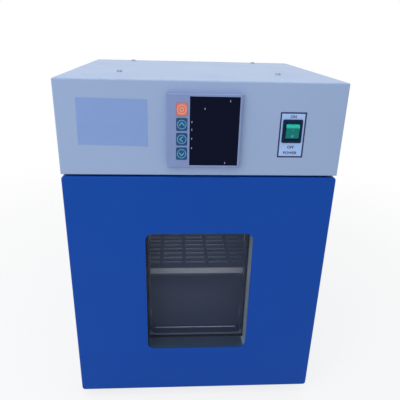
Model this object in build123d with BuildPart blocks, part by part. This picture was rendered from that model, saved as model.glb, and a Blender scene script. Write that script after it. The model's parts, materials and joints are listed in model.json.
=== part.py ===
from build123d import *
import os
from math import cos, radians, sin

os.makedirs("parts", exist_ok=True)

# Laboratory incubator, millimetres. X to the right, the door faces -Y, Z up from the floor.

# Outer case
case_width = 380.0
case_height = 522.0
case_depth = 344.0
control_height = 126.0
hood_depth = 72.0
sheet = 1.2
seam_gap = 0.3
touch_gap = 0.3
bend_radius = 2.4
side_flange = 12.0
cover_flange = 14.0
lap_clearance = 0.1
foot_height = 15.0
foot_radius = 15.0
foot_top_radius = 12.5
foot_inset_x = 45.0
foot_inset_front = 92.0
foot_inset_rear = 36.0

# Door
door_gap = 2.5
door_thickness = 48.0
door_edge_radius = 2.5
door_corner_radius = 5.0
door_return = 11.0
window_side_margin = 111.25
window_top_margin = 87.0
window_rise = 84.5
window_radius = 10.5
reveal_depth = 26.0
reveal_sheet = 1.0
reveal_flange = 8.0
inner_window_margin = 3.5
inner_window_radius = 9.0
glass_thickness = 4.0
glass_bite = 6.0
seal_lip = 0.8
seal_wrap = 2.0
seal_reach = 1.2
inner_glass_thickness = 3.0
inner_glass_bite = 6.0
clip_size = 14.0
clip_lip = 1.5
gasket_inset = 14.0
gasket_width = 16.0
gasket_thickness = 8.0
gasket_base = 3.0
gasket_bulb = 11.0
inner_panel_inset = 1.5
door_screw_inset = 6.0

# Hinge
hinge_inset = 12.0
hinge_setback = 22.0
pin_radius = 3.0
pin_clearance = 0.05
press_clearance = 0.02
pin_engagement = 14.0
pin_head_radius = 5.0
pin_head_height = 2.5
bush_radius = 4.5
bush_flange_radius = 7.0
bush_flange = 1.0
hinge_plate = 3.0
hinge_plate_width = 22.0
hinge_plate_reach = 40.0
hinge_screw_front = 12.0
hinge_screw_rear = 30.0
bottom_flange = 26.0

# Chamber
chamber_side_wall = 35.0
chamber_roof = 36.0
chamber_rise = 35.0
chamber_radius = 2.0
liner_sheet = 0.8
liner_flange = 14.0
wool_gap = 0.6

# Air duct, fan and heater
duct_depth = 30.0
duct_sheet = 1.0
duct_side_gap = 9.0
duct_bottom_gap = 12.0
duct_top_gap = 20.0
intake_slots = 16
intake_inner = 17.0
intake_outer = 43.0
intake_slot_width = 5.0
outlet_length = 26.0
outlet_width = 6.0
outlet_pitch = 28.0
outlet_inset = 22.0
outlet_margin = 25.0
fan_radius = 50.0
fan_disc = 1.2
fan_blades = 10
blade_height = 16.0
blade_thickness = 1.2
blade_inner = 20.0
blade_lean = 38.0
hub_radius = 9.0
shaft_radius = 3.0
fan_air_gap = 3.0
motor_radius = 29.0
motor_length = 25.0
motor_standoff = 9.0
motor_well = 35.0
shaft_bush_radius = 7.0
shaft_bush_flange = 10.0
motor_strip = 1.5
motor_strip_width = 26.0
motor_cover_size = 112.0
motor_cover_flange = 9.0
motor_cover_depth = 14.0
heater_tube = 3.2
heater_half = 78.0
heater_bend = 16.0
heater_leg_space = 14.0
heater_leg_bend = 8.0
heater_bush_radius = 6.0
heater_bush_flange = 8.0
probe_radius = 2.0
probe_drop = 15.0
probe_inset = 63.0
probe_reach = 62.0
probe_gland_radius = 6.0

# Shelf and its rack
shelf_front_gap = 10.0
shelf_rear_gap = 6.0
shelf_rise = 184.0
shelf_sheet = 1.0
shelf_lip = 10.4
shelf_slot_margin = 10.0
shelf_slot_length = 32.0
shelf_slot_width = 7.0
shelf_slot_pitch_x = 39.0
shelf_slot_pitch_y = 15.5
shelf_side_play = 0.5
upright_width = 12.0
upright_depth = 6.0
upright_sheet = 1.0
upright_top_gap = 26.0
upright_rise = 24.0
upright_front = 34.0
upright_rear_gap = 44.0
upright_slot_pitch = 24.0
upright_slot_margin = 6.0
upright_slot_height = 9.0
upright_slot_width = 3.0
rail_front = 19.0
rail_rear_gap = 15.0
rail_height = 14.0
rail_ledge = 11.0
rail_sheet = 1.0

# Temperature controller
controller_size = 97.0
controller_x = 1.5
controller_drop = 1.0
controller_proud = 8.0
controller_cutout = 92.0
controller_body = 90.5
controller_length = 72.0
controller_wall = 2.0
controller_face = 2.2
controller_edge = 1.2
display_width = 64.5
display_height = 90.5
display_x = 13.35
display_recess = 0.3
board_thickness = 1.6
board_setback = 5.8
key_width = 14.0
key_height = 16.4
key_pitch = 19.35
key_column = -29.0
key_row_top = 28.8
key_count = 4
key_proud = 0.6
key_clearance = 0.25
key_travel = 0.8
key_flange = 1.0
key_flange_sheet = 0.8
key_corner = 1.5
key_stem = 2.0
clamp_width = 14.0
clamp_length = 36.0
clamp_height = 5.0
terminal_width = 78.0
terminal_height = 22.0
terminal_depth = 9.0

# Power switch
switch_x = 119.6
switch_drop = 0.5
switch_width = 26.2
switch_height = 31.0
switch_proud = 2.0
switch_body_width = 21.5
switch_body_height = 27.5
switch_body_depth = 20.0
switch_pocket_depth = 12.0
switch_corner = 1.5
rocker_width = 17.5
rocker_height = 21.1
rocker_reach = 8.2
rocker_tail = 3.0
rocker_pivot = 4.0
rocker_dish = 0.5
rocker_shoulder = 5.5
rocker_clearance = 0.35
rocker_swing = 20.0
trunnion_radius = 1.5
trunnion_length = 1.4
panel_clearance = 0.25
spade_width = 4.8
spade_thickness = 0.8
spade_length = 9.0

# Fasteners and fittings
screw_head_radius = 4.0
screw_head_height = 2.4
screw_radius = 2.0
top_screw_inset = 73.0
top_screw_front = 98.0
top_screw_rear = 20.0
small_head_radius = 3.0
small_head_height = 1.6
small_screw_radius = 1.5
rail_section = 18.0
gland_inset = 40.0
gland_z = 46.0
gland_bore = 4.0
gland_thread = 8.0
gland_hex = 12.0
gland_dome = 9.0
gland_projection = 13.0
gland_nut = 5.0
deck_down = 12.0
vent_slot_length = 44.0
vent_slot_width = 4.0
vent_pitch = 11.0
vent_rows = 5
vent_column = 62.0
wire_hole_setback = 28.0
relay_x = -70.0
relay_setback = 154.0
relay_width = 45.0
relay_length = 58.0
relay_height = 23.0
relay_fin = 2.0
relay_fins = 6
relay_fin_height = 22.0
block_x = -110.0
block_setback = 69.0
block_length = 72.0
block_width = 22.0
block_height = 18.0

# Places worked out from the sizes above
half_width = case_width / 2
inner_half = half_width - sheet
front = controller_proud - (case_depth + controller_proud + motor_cover_depth) / 2
back = front + case_depth
door_back = front + door_thickness
face_front = door_back + gasket_thickness
face_back = face_front + sheet
hood_back = front + hood_depth
case_bottom = foot_height
door_bottom = case_bottom + bush_flange
control_bottom = case_height - control_height
door_top = control_bottom - door_gap
door_height = door_top - door_bottom
door_middle = (door_top + door_bottom) / 2
chamber_floor = case_bottom + chamber_rise
chamber_top = control_bottom - chamber_roof
chamber_height = chamber_top - chamber_floor
chamber_middle = (chamber_floor + chamber_top) / 2
chamber_back = back - motor_length - motor_standoff
chamber_half = half_width - chamber_side_wall
chamber_width = 2 * chamber_half
duct_front = chamber_back - duct_depth
duct_back = duct_front + duct_sheet
window_width = case_width - 2 * window_side_margin
window_height = door_height - window_rise - window_top_margin
window_middle = door_bottom + window_rise + window_height / 2
hinge_x = half_width - hinge_inset
hinge_y = front + hinge_setback
joggle = sheet + lap_clearance
deck_top = control_bottom + 2 * sheet
cover_low = case_height - cover_flange
flange_middle = inner_half - side_flange / 2
rear_low = case_bottom + sheet + seam_gap
rear_high = case_height - sheet
foot_points = [
    (side * (half_width - foot_inset_x), y)
    for y in (front + foot_inset_front, back - foot_inset_rear)
    for side in (-1, 1)
]
hinge_screw_points = [(hinge_x, face_front + reach) for reach in (hinge_screw_front, hinge_screw_rear)]
rear_screw_rows = [rear_low + 2 * side_flange, chamber_middle, control_bottom, rear_high - 3 * side_flange]


def upright(y):
    """A plane across the incubator at depth y, drawn in X and Z, that faces the front."""
    return Plane.XZ.offset(-y)


def save(piece, name):
    """Label a finished piece and write it to its own file."""
    piece.part.label = name
    export_step(piece.part, f"parts/{name}.step")


def screw_group(name, rows, head_radius, head_height, shank_radius):
    """Equal pan-head screws in rows of (plane, points, reach): heads on the plane, shanks behind it."""
    with BuildPart() as group:
        for plane, points, reach in rows:
            with BuildSketch(plane):
                with Locations(*points):
                    Circle(head_radius)
            extrude(amount=head_height)
            rims = group.edges().filter_by(GeomType.CIRCLE).group_by(Axis(plane.origin, plane.z_dir))[-1]
            fillet(rims, head_height / 2)
            with BuildSketch(plane):
                with Locations(*points):
                    Circle(shank_radius)
            extrude(amount=-reach)
    save(group, name)


def rear_face(y):
    """A plane across the incubator at depth y that faces the back, drawn in -X and Z."""
    return Plane(origin=(0, y, 0), x_dir=(-1, 0, 0), z_dir=(0, 1, 0))


def underside(z):
    """A level plane that faces down, drawn in X and -Y."""
    return Plane(origin=(0, 0, z), x_dir=(1, 0, 0), z_dir=(0, 0, -1))


# Case panels

def side_panel(side, name):
    """One side of the case: a folded sheet with a stepped top edge behind the cover's flange."""
    lap = cover_low - seam_gap - joggle
    outline = [
        (half_width - bottom_flange, case_bottom),
        (half_width, case_bottom),
        (half_width, lap),
        (half_width - joggle, lap + joggle),
        (half_width - joggle, case_height - sheet - lap_clearance),
        (inner_half - joggle, case_height - sheet - lap_clearance),
        (inner_half - joggle, lap + joggle),
        (inner_half, lap),
        (inner_half, case_bottom + sheet),
        (half_width - bottom_flange, case_bottom + sheet),
    ]
    flange_top = lap - joggle
    with BuildPart() as panel:
        with BuildSketch(upright(face_front)):
            with BuildLine():
                Polyline(*[(side * x, z) for x, z in outline], close=True)
            make_face()
        extrude(amount=-(back - face_front))
        with BuildSketch(Plane.XY.offset(control_bottom)):
            with Locations((side * half_width, (face_front + hood_back + seam_gap) / 2)):
                Rectangle(4 * side_flange, hood_back + seam_gap - face_front)
        extrude(amount=control_height, mode=Mode.SUBTRACT)
        flange_x = side * flange_middle
        with BuildSketch(Plane.XY.offset(case_bottom + sheet)):
            with Locations((flange_x, face_back + sheet / 2)):
                Rectangle(side_flange, sheet)
        extrude(amount=control_bottom - case_bottom - sheet)
        with BuildSketch(Plane.XY.offset(case_bottom + sheet)):
            with Locations((flange_x, back - sheet - sheet / 2)):
                Rectangle(side_flange, sheet)
        extrude(amount=flange_top - case_bottom - sheet)
        with BuildSketch(upright(back - sheet)):
            with Locations(*[(side * flange_middle, z) for z in rear_screw_rows]):
                Circle(small_screw_radius + press_clearance)
        extrude(amount=sheet, mode=Mode.SUBTRACT)
        with BuildSketch(Plane.XY.offset(case_bottom)):
            with Locations(*hinge_screw_points):
                Circle(small_screw_radius + press_clearance)
        extrude(amount=sheet, mode=Mode.SUBTRACT)
        bend = panel.edges().filter_by(Axis.Y).sort_by_distance((side * half_width, 0, case_bottom))
        fillet(bend[0], sheet)
    save(panel, name)


side_panel(-1, "side_panel_left")
side_panel(1, "side_panel_right")

pan_front = face_back + sheet
pan_back = back - 2 * sheet
pan_middle = (pan_front + pan_back) / 2

with BuildPart() as base_pan:
    with BuildSketch(Plane.XY.offset(case_bottom + sheet)):
        with Locations((0, pan_middle)):
            Rectangle(2 * inner_half, pan_back - pan_front)
        with Locations(*hinge_screw_points, *foot_points):
            Circle(small_screw_radius + press_clearance, mode=Mode.SUBTRACT)
    extrude(amount=sheet)
    with BuildSketch(Plane.XY.offset(case_bottom + 2 * sheet)):
        with Locations((-inner_half + sheet / 2, pan_middle), (inner_half - sheet / 2, pan_middle)):
            Rectangle(sheet, pan_back - pan_front)
    extrude(amount=side_flange)
save(base_pan, "base_pan")

with BuildPart() as deck_plate:
    with BuildSketch(Plane.XY.offset(control_bottom + sheet)):
        with Locations((0, pan_middle)):
            Rectangle(2 * inner_half, pan_back - pan_front)
        with Locations((controller_x, pan_back - wire_hole_setback)):
            Circle(probe_gland_radius, mode=Mode.SUBTRACT)
    extrude(amount=sheet)
    with BuildSketch(Plane.XY.offset(control_bottom + sheet)):
        down_front = hood_back + seam_gap
        for x in (-inner_half + sheet / 2, inner_half - sheet / 2):
            with Locations((x, (down_front + pan_back) / 2)):
                Rectangle(sheet, pan_back - down_front)
    extrude(amount=-deck_down)
save(deck_plate, "deck_plate")

with BuildPart() as face_frame:
    with BuildSketch(upright(face_front)):
        with Locations((0, (case_bottom + sheet + control_bottom) / 2)):
            Rectangle(2 * inner_half, control_bottom - case_bottom - sheet)
        with Locations((0, chamber_middle)):
            RectangleRounded(chamber_width, chamber_height, chamber_radius, mode=Mode.SUBTRACT)
    extrude(amount=-sheet)
save(face_frame, "face_frame")

control_middle = control_bottom + control_height / 2
controller_middle = control_middle - controller_drop
switch_middle = control_middle - switch_drop

with BuildPart() as front_fascia:
    with BuildSketch(upright(front)):
        with Locations((0, control_middle)):
            Rectangle(case_width, control_height)
    extrude(amount=-hood_depth)
    fillet(front_fascia.edges().filter_by(Axis.Y).group_by(Axis.Z)[-1], bend_radius)
    fillet(front_fascia.faces().sort_by(Axis.Y)[0].edges(), bend_radius - seam_gap)
    with BuildSketch(upright(front + sheet)):
        with Locations((0, control_middle)):
            Rectangle(2 * inner_half, control_height - 2 * sheet)
    extrude(amount=-(hood_depth - sheet), mode=Mode.SUBTRACT)
    with BuildSketch(upright(front)):
        with Locations((controller_x, controller_middle)):
            Rectangle(controller_cutout, controller_cutout)
        with Locations((switch_x, switch_middle)):
            Rectangle(switch_body_width + 2 * panel_clearance, switch_body_height + 2 * panel_clearance)
    extrude(amount=-sheet, mode=Mode.SUBTRACT)
    with BuildSketch(Plane.XY.offset(control_bottom)):
        with Locations((hinge_x, hinge_y)):
            Circle(pin_radius + press_clearance)
    extrude(amount=sheet, mode=Mode.SUBTRACT)
save(front_fascia, "front_fascia")

cover_front = hood_back + seam_gap
top_screw_points = [
    (side * (half_width - top_screw_inset), y)
    for y in (front + top_screw_front, back - top_screw_rear)
    for side in (-1, 1)
]

with BuildPart() as top_cover:
    with BuildSketch(upright(cover_front)):
        with Locations((0, (cover_low + case_height) / 2)):
            Rectangle(case_width, cover_flange)
        with Locations((0, (cover_low + case_height) / 2 - sheet)):
            Rectangle(2 * inner_half, cover_flange, mode=Mode.SUBTRACT)
    extrude(amount=-(back - cover_front))
    fillet(top_cover.edges().filter_by(Axis.Y).group_by(Axis.Z)[-1], bend_radius)
    with BuildSketch(Plane.XY.offset(case_height)):
        with Locations(*top_screw_points):
            Circle(screw_radius + press_clearance)
    extrude(amount=-sheet, mode=Mode.SUBTRACT)
save(top_cover, "top_cover")

with BuildPart() as cover_rails:
    for y in (front + top_screw_front, back - top_screw_rear):
        with BuildSketch(Plane.YZ.offset(-(inner_half - joggle))):
            with Locations((y, case_height - sheet - rail_section / 2)):
                Rectangle(rail_section, rail_section)
            with Locations((y + sheet, case_height - 2 * sheet - rail_section / 2)):
                Rectangle(rail_section, rail_section, mode=Mode.SUBTRACT)
        extrude(amount=2 * (inner_half - joggle))
    with BuildSketch(Plane.XY.offset(case_height - sheet)):
        with Locations(*top_screw_points):
            Circle(screw_radius + press_clearance)
    extrude(amount=-sheet, mode=Mode.SUBTRACT)
save(cover_rails, "cover_rails")

screw_group(
    "top_screws",
    [(Plane.XY.offset(case_height), top_screw_points, 3 * sheet)],
    screw_head_radius,
    screw_head_height,
    screw_radius,
)

rear_half = inner_half - joggle - seam_gap
rear_screw_points = [(side * flange_middle, z) for z in rear_screw_rows for side in (-1, 1)]
motor_cover_half = motor_cover_size / 2 + motor_cover_flange
motor_screw_spread = motor_cover_half - motor_cover_flange / 2
motor_screw_points = [
    (x, chamber_middle + z)
    for x in (-motor_screw_spread, motor_screw_spread)
    for z in (-motor_screw_spread, motor_screw_spread)
]

gland_spot = (gland_inset - half_width, control_bottom + gland_z)

with BuildPart() as rear_panel:
    with BuildSketch(upright(back - sheet)):
        with Locations((0, (rear_low + rear_high) / 2)):
            Rectangle(2 * rear_half, rear_high - rear_low)
        with Locations((0, chamber_middle)):
            Circle(motor_well, mode=Mode.SUBTRACT)
        with Locations(gland_spot):
            Circle(gland_thread + press_clearance, mode=Mode.SUBTRACT)
        with Locations(*rear_screw_points, *motor_screw_points):
            Circle(small_screw_radius + press_clearance, mode=Mode.SUBTRACT)
        with Locations((0, control_middle)):
            with GridLocations(vent_column, vent_pitch, 3, vent_rows):
                SlotOverall(vent_slot_length, vent_slot_width, mode=Mode.SUBTRACT)
    extrude(amount=-sheet)
save(rear_panel, "rear_panel")

screw_group(
    "rear_screws",
    [
        (rear_face(back), [(-x, z) for x, z in rear_screw_points], 2 * sheet),
        (rear_face(back + sheet), motor_screw_points, 2 * sheet),
    ],
    small_head_radius,
    small_head_height,
    small_screw_radius,
)

# Feet

with BuildPart() as feet:
    with BuildSketch(Plane.XY.offset(case_bottom)):
        with Locations(*foot_points):
            Circle(foot_radius)
    extrude(amount=-foot_height)
    fillet(feet.edges().group_by(Axis.Z)[0], sheet)
    with BuildSketch(Plane.XY.offset(case_bottom)):
        with Locations(*foot_points):
            Circle(foot_top_radius)
    extrude(amount=sheet)
    with BuildSketch(Plane.XY):
        with Locations(*foot_points):
            Circle(small_head_radius + small_head_height)
    extrude(amount=foot_height / 2, mode=Mode.SUBTRACT)
    with BuildSketch(Plane.XY):
        with Locations(*foot_points):
            Circle(small_screw_radius + press_clearance)
    extrude(amount=foot_height + sheet, mode=Mode.SUBTRACT)
save(feet, "feet")

# Chamber

fan_spot = (0, chamber_middle)
heater_low = chamber_middle - heater_half
heater_leg_points = [(-heater_leg_space, heater_low), (heater_leg_space, heater_low)]
probe_spot = (chamber_half - probe_inset, chamber_top - probe_drop)

with BuildPart() as chamber_liner:
    with BuildSketch(upright(face_back)):
        with Locations((0, chamber_middle)):
            RectangleRounded(
                chamber_width + 2 * liner_sheet,
                chamber_height + 2 * liner_sheet,
                chamber_radius + liner_sheet,
            )
    extrude(amount=-(chamber_back - face_back))
    with BuildSketch(upright(face_back)):
        with Locations((0, chamber_middle)):
            RectangleRounded(
                chamber_width + 2 * liner_flange,
                chamber_height + 2 * liner_flange,
                chamber_radius,
            )
    extrude(amount=-liner_sheet)
    with BuildSketch(upright(face_back)):
        with Locations((0, chamber_middle)):
            RectangleRounded(chamber_width, chamber_height, chamber_radius)
    extrude(amount=-(chamber_back - face_back), mode=Mode.SUBTRACT)
save(chamber_liner, "chamber_liner")

with BuildPart() as liner_back:
    with BuildSketch(upright(chamber_back)):
        with Locations((0, chamber_middle)):
            RectangleRounded(
                chamber_width + 2 * liner_sheet,
                chamber_height + 2 * liner_sheet,
                chamber_radius + liner_sheet,
            )
    extrude(amount=-liner_sheet)
    with BuildSketch(upright(chamber_back)):
        with Locations(fan_spot):
            Circle(shaft_bush_radius + press_clearance)
        with Locations(*heater_leg_points):
            Circle(heater_bush_radius + press_clearance)
        with Locations(probe_spot):
            Circle(probe_radius + press_clearance)
    extrude(amount=-liner_sheet, mode=Mode.SUBTRACT)
save(liner_back, "liner_back")

wool_front = face_back + sheet + wool_gap
wool_back = back - 2 * sheet - wool_gap
wool_low = case_bottom + 2 * sheet + wool_gap
wool_high = control_bottom - wool_gap
wool_half = inner_half - sheet - wool_gap

with BuildPart() as chamber_insulation:
    with BuildSketch(upright(wool_front)):
        with Locations((0, (wool_low + wool_high) / 2)):
            Rectangle(2 * wool_half, wool_high - wool_low)
    extrude(amount=-(wool_back - wool_front))
    with BuildSketch(upright(wool_front)):
        with Locations((0, chamber_middle)):
            Rectangle(
                chamber_width + 2 * (liner_sheet + wool_gap),
                chamber_height + 2 * (liner_sheet + wool_gap),
            )
    extrude(amount=-(chamber_back + liner_sheet + wool_gap - wool_front), mode=Mode.SUBTRACT)
    with BuildSketch(upright(wool_back)):
        with Locations(fan_spot):
            Circle(motor_well)
        with Locations(*heater_leg_points):
            Circle(heater_bush_radius + wool_gap)
        with Locations(probe_spot):
            Circle(probe_gland_radius + wool_gap)
    extrude(amount=wool_back - chamber_back, mode=Mode.SUBTRACT)
save(chamber_insulation, "chamber_insulation")

# Shelf rack: slotted uprights on the side walls, and an angle rail on each side

upright_places = [face_front + upright_front, duct_front - upright_rear_gap]
upright_low = chamber_floor + upright_rise
upright_height = chamber_top - upright_top_gap - upright_low
upright_slots = int((upright_height - 2 * upright_slot_margin) / upright_slot_pitch)
upright_face = chamber_half - upright_depth
shelf_low = door_bottom + shelf_rise
shelf_top = shelf_low + shelf_lip

with BuildPart() as rack_uprights:
    for side in (-1, 1):
        for y in upright_places:
            with BuildSketch(Plane.XY.offset(upright_low)):
                with Locations((side * (chamber_half - upright_depth / 2), y)):
                    Rectangle(upright_depth, upright_width)
                with Locations((side * (chamber_half - upright_depth / 2 + upright_sheet), y)):
                    Rectangle(upright_depth, upright_width - 2 * upright_sheet, mode=Mode.SUBTRACT)
            extrude(amount=upright_height)
        with BuildSketch(Plane.YZ.offset(side * upright_face)):
            for y in upright_places:
                with Locations((y, upright_low + upright_height / 2)):
                    with GridLocations(0, upright_slot_pitch, 1, upright_slots):
                        Rectangle(upright_slot_width, upright_slot_height)
        extrude(amount=side * upright_sheet, mode=Mode.SUBTRACT)
save(rack_uprights, "rack_uprights")

rail_start = face_front + rail_front
rail_end = duct_front - rail_rear_gap
rail_base = shelf_low - rail_sheet


def shelf_rail(side, name):
    """An angle rail against the uprights: an upright leg and a ledge that the shelf's lip slides on."""
    leg = [
        (upright_face, rail_base),
        (upright_face, rail_base + rail_height),
        (upright_face - rail_sheet, rail_base + rail_height),
        (upright_face - rail_sheet, rail_base + rail_sheet),
        (upright_face - rail_ledge, rail_base + rail_sheet),
        (upright_face - rail_ledge, rail_base),
    ]
    with BuildPart() as rail:
        with BuildSketch(upright(rail_start)):
            with BuildLine():
                Polyline(*[(side * x, z) for x, z in leg], close=True)
            make_face()
        extrude(amount=-(rail_end - rail_start))
    save(rail, name)


shelf_rail(-1, "shelf_rail_left")
shelf_rail(1, "shelf_rail_right")

# Shelf: a tray turned upside down, with slots, whose front lip shows through the window

shelf_half = upright_face - rail_sheet - shelf_side_play
shelf_front = face_front + shelf_front_gap
shelf_depth = duct_front - shelf_rear_gap - shelf_front
shelf_middle = shelf_front + shelf_depth / 2
shelf_columns = int(2 * (shelf_half - shelf_slot_margin) / shelf_slot_pitch_x)
shelf_rows = int((shelf_depth - 2 * shelf_slot_margin) / shelf_slot_pitch_y)

with BuildPart() as shelf:
    with BuildSketch(Plane.XY.offset(shelf_low)):
        with Locations((0, shelf_middle)):
            Rectangle(2 * shelf_half, shelf_depth)
    extrude(amount=shelf_lip)
    fillet(shelf.edges().group_by(Axis.Z)[-1], shelf_sheet)
    with BuildSketch(Plane.XY.offset(shelf_low)):
        with Locations((0, shelf_middle)):
            Rectangle(2 * (shelf_half - shelf_sheet), shelf_depth - 2 * shelf_sheet)
    extrude(amount=shelf_lip - shelf_sheet, mode=Mode.SUBTRACT)
    with BuildSketch(Plane.XY.offset(shelf_top)):
        with Locations((0, shelf_middle)):
            with GridLocations(shelf_slot_pitch_x, shelf_slot_pitch_y, shelf_columns, shelf_rows):
                Rectangle(shelf_slot_length, shelf_slot_width)
    extrude(amount=-shelf_sheet, mode=Mode.SUBTRACT)
save(shelf, "shelf")

# Air duct panel behind the shelf

duct_half = chamber_half - duct_side_gap
duct_low = chamber_floor + duct_bottom_gap
duct_high = chamber_top - duct_top_gap
duct_middle = (duct_low + duct_high) / 2
intake_middle = (intake_inner + intake_outer) / 2
outlet_rows = int((duct_high - duct_low - 2 * outlet_margin) / outlet_pitch)

with BuildPart() as duct_panel:
    with BuildSketch(upright(duct_front)):
        with Locations((0, duct_middle)):
            Rectangle(2 * duct_half, duct_high - duct_low)
    extrude(amount=-duct_depth)
    with BuildSketch(upright(duct_back)):
        with Locations((0, duct_middle)):
            Rectangle(2 * (duct_half - duct_sheet), duct_high - duct_low)
    extrude(amount=-(duct_depth - duct_sheet), mode=Mode.SUBTRACT)
    with BuildSketch(upright(duct_front)):
        with Locations(fan_spot):
            with PolarLocations(intake_middle, intake_slots):
                Rectangle(intake_outer - intake_inner, intake_slot_width)
        with Locations((0, chamber_middle)):
            with GridLocations(2 * (duct_half - outlet_inset), outlet_pitch, 2, outlet_rows):
                Rectangle(outlet_length, outlet_width)
    extrude(amount=-duct_sheet, mode=Mode.SUBTRACT)
save(duct_panel, "duct_panel")

# Circulation fan: a bladed wheel on the motor's shaft

disc_back = chamber_back - fan_air_gap
disc_front = disc_back - fan_disc
blade_front = disc_front - blade_height
motor_back = back
motor_front = motor_back - motor_length

blade_middle = (blade_inner + fan_radius) / 2
blade_tip = fan_radius - blade_thickness
blade_arc = ThreePointArc(
    (blade_inner, 0),
    (blade_middle * cos(radians(blade_lean / 3)), blade_middle * sin(radians(blade_lean / 3))),
    (blade_tip * cos(radians(blade_lean)), blade_tip * sin(radians(blade_lean))),
)

with BuildPart() as fan_impeller:
    with BuildSketch(upright(disc_front)):
        with Locations(fan_spot):
            Circle(fan_radius)
    extrude(amount=-fan_disc)
    with BuildSketch(upright(disc_front)):
        with Locations(fan_spot):
            Circle(hub_radius)
    extrude(amount=blade_height)
    fillet(fan_impeller.edges().group_by(Axis.Y)[0], fan_disc)
    with BuildSketch(upright(disc_front)):
        with Locations(fan_spot):
            with PolarLocations(0, fan_blades):
                SlotArc(blade_arc, blade_thickness)
    extrude(amount=blade_height)
    with BuildSketch(upright(blade_front)):
        with Locations(fan_spot):
            Circle(shaft_radius + press_clearance)
    extrude(amount=-(disc_back - blade_front), mode=Mode.SUBTRACT)
save(fan_impeller, "fan_impeller")

with BuildPart() as fan_shaft:
    with BuildSketch(upright(blade_front + hub_radius / 2)):
        with Locations(fan_spot):
            Circle(shaft_radius)
    extrude(amount=-(motor_back - 2 * motor_strip - blade_front - hub_radius / 2))
    chamfer(fan_shaft.edges().filter_by(GeomType.CIRCLE), pin_clearance * 6)
save(fan_shaft, "fan_shaft")

# The motor hangs in the back wall from a strip across the rear panel's opening

boss_front = motor_front - 2 * motor_strip

with BuildPart() as fan_motor:
    with BuildSketch(upright(motor_front)):
        with Locations(fan_spot):
            Circle(motor_radius)
    extrude(amount=-motor_length)
    fillet(fan_motor.edges().filter_by(GeomType.CIRCLE), 2 * motor_strip)
    with BuildSketch(upright(motor_front)):
        with Locations(fan_spot):
            Circle(hub_radius)
    extrude(amount=motor_front - boss_front)
    with BuildSketch(upright(boss_front)):
        with Locations(fan_spot):
            Circle(shaft_radius + pin_clearance)
    extrude(amount=-(motor_back - motor_strip - boss_front), mode=Mode.SUBTRACT)
save(fan_motor, "fan_motor")

with BuildPart() as motor_strap:
    with BuildSketch(upright(back)):
        with Locations((0, chamber_middle)):
            Rectangle(motor_cover_size - 2 * screw_head_radius, motor_strip_width)
    extrude(amount=-motor_strip)
    fillet(motor_strap.edges().filter_by(Axis.Y), screw_head_radius)
save(motor_strap, "motor_strap")

with BuildPart() as motor_cover:
    with BuildSketch(upright(back)):
        with Locations((0, chamber_middle)):
            RectangleRounded(2 * motor_cover_half, 2 * motor_cover_half, motor_cover_flange / 2)
        with Locations(*motor_screw_points):
            Circle(small_screw_radius + press_clearance, mode=Mode.SUBTRACT)
    extrude(amount=-sheet)
    with BuildSketch(upright(back)):
        with Locations((0, chamber_middle)):
            RectangleRounded(motor_cover_size, motor_cover_size, 2 * bend_radius)
    extrude(amount=-motor_cover_depth)
    fillet(motor_cover.faces().sort_by(Axis.Y)[-1].edges(), bend_radius)
    with BuildSketch(upright(back)):
        with Locations((0, chamber_middle)):
            RectangleRounded(
                motor_cover_size - 2 * sheet,
                motor_cover_size - 2 * sheet,
                2 * bend_radius - sheet,
            )
    extrude(amount=-(motor_cover_depth - sheet), mode=Mode.SUBTRACT)
    with BuildSketch(upright(back + motor_cover_depth)):
        with Locations((0, chamber_middle)):
            with GridLocations(0, vent_pitch, 1, vent_rows + 2):
                SlotOverall(motor_cover_size - 4 * vent_pitch, vent_slot_width)
    extrude(amount=sheet, mode=Mode.SUBTRACT)
save(motor_cover, "motor_cover")

with BuildPart() as shaft_bush:
    with BuildSketch(upright(chamber_back - fan_air_gap / 3)):
        with Locations(fan_spot):
            Circle(shaft_bush_flange)
    extrude(amount=-fan_air_gap / 3)
    with BuildSketch(upright(chamber_back)):
        with Locations(fan_spot):
            Circle(shaft_bush_radius)
    extrude(amount=-(boss_front - chamber_back))
    with BuildSketch(upright(chamber_back - fan_air_gap)):
        with Locations(fan_spot):
            Circle(shaft_radius + touch_gap)
    extrude(amount=-(boss_front - chamber_back + fan_air_gap), mode=Mode.SUBTRACT)
save(shaft_bush, "shaft_bush")

# Heater: a bent tube round the fan, with two legs through the back wall and two brazed tabs

heater_y = (duct_back + chamber_back) / 2
leg_end = chamber_back + wool_gap + 2 * heater_leg_bend
heater_high = chamber_middle + heater_half

with BuildPart() as heater_element:
    with BuildLine() as heater_path:
        FilletPolyline(
            (-heater_leg_space, leg_end, heater_low),
            (-heater_leg_space, heater_y, heater_low),
            (-heater_half, heater_y, heater_low),
            (-heater_half, heater_y, heater_high),
            (heater_half, heater_y, heater_high),
            (heater_half, heater_y, heater_low),
            (heater_leg_space, heater_y, heater_low),
            (heater_leg_space, leg_end, heater_low),
            radius=[heater_leg_bend] + [heater_bend] * 4 + [heater_leg_bend],
        )
    with BuildSketch(Plane(origin=(-heater_leg_space, leg_end, heater_low), z_dir=(0, -1, 0))):
        Circle(heater_tube)
    sweep(path=heater_path.line)
    for x in (-heater_half / 2, heater_half / 2):
        with BuildSketch(Plane.YZ.offset(x - heater_tube)):
            with Locations(((heater_y + chamber_back) / 2, heater_high + heater_tube)):
                Rectangle(chamber_back - heater_y, duct_sheet)
            with Locations((chamber_back - duct_sheet / 2, heater_high + 2 * heater_tube)):
                Rectangle(duct_sheet, 3 * heater_tube)
        extrude(amount=2 * heater_tube)
save(heater_element, "heater_element")

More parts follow.
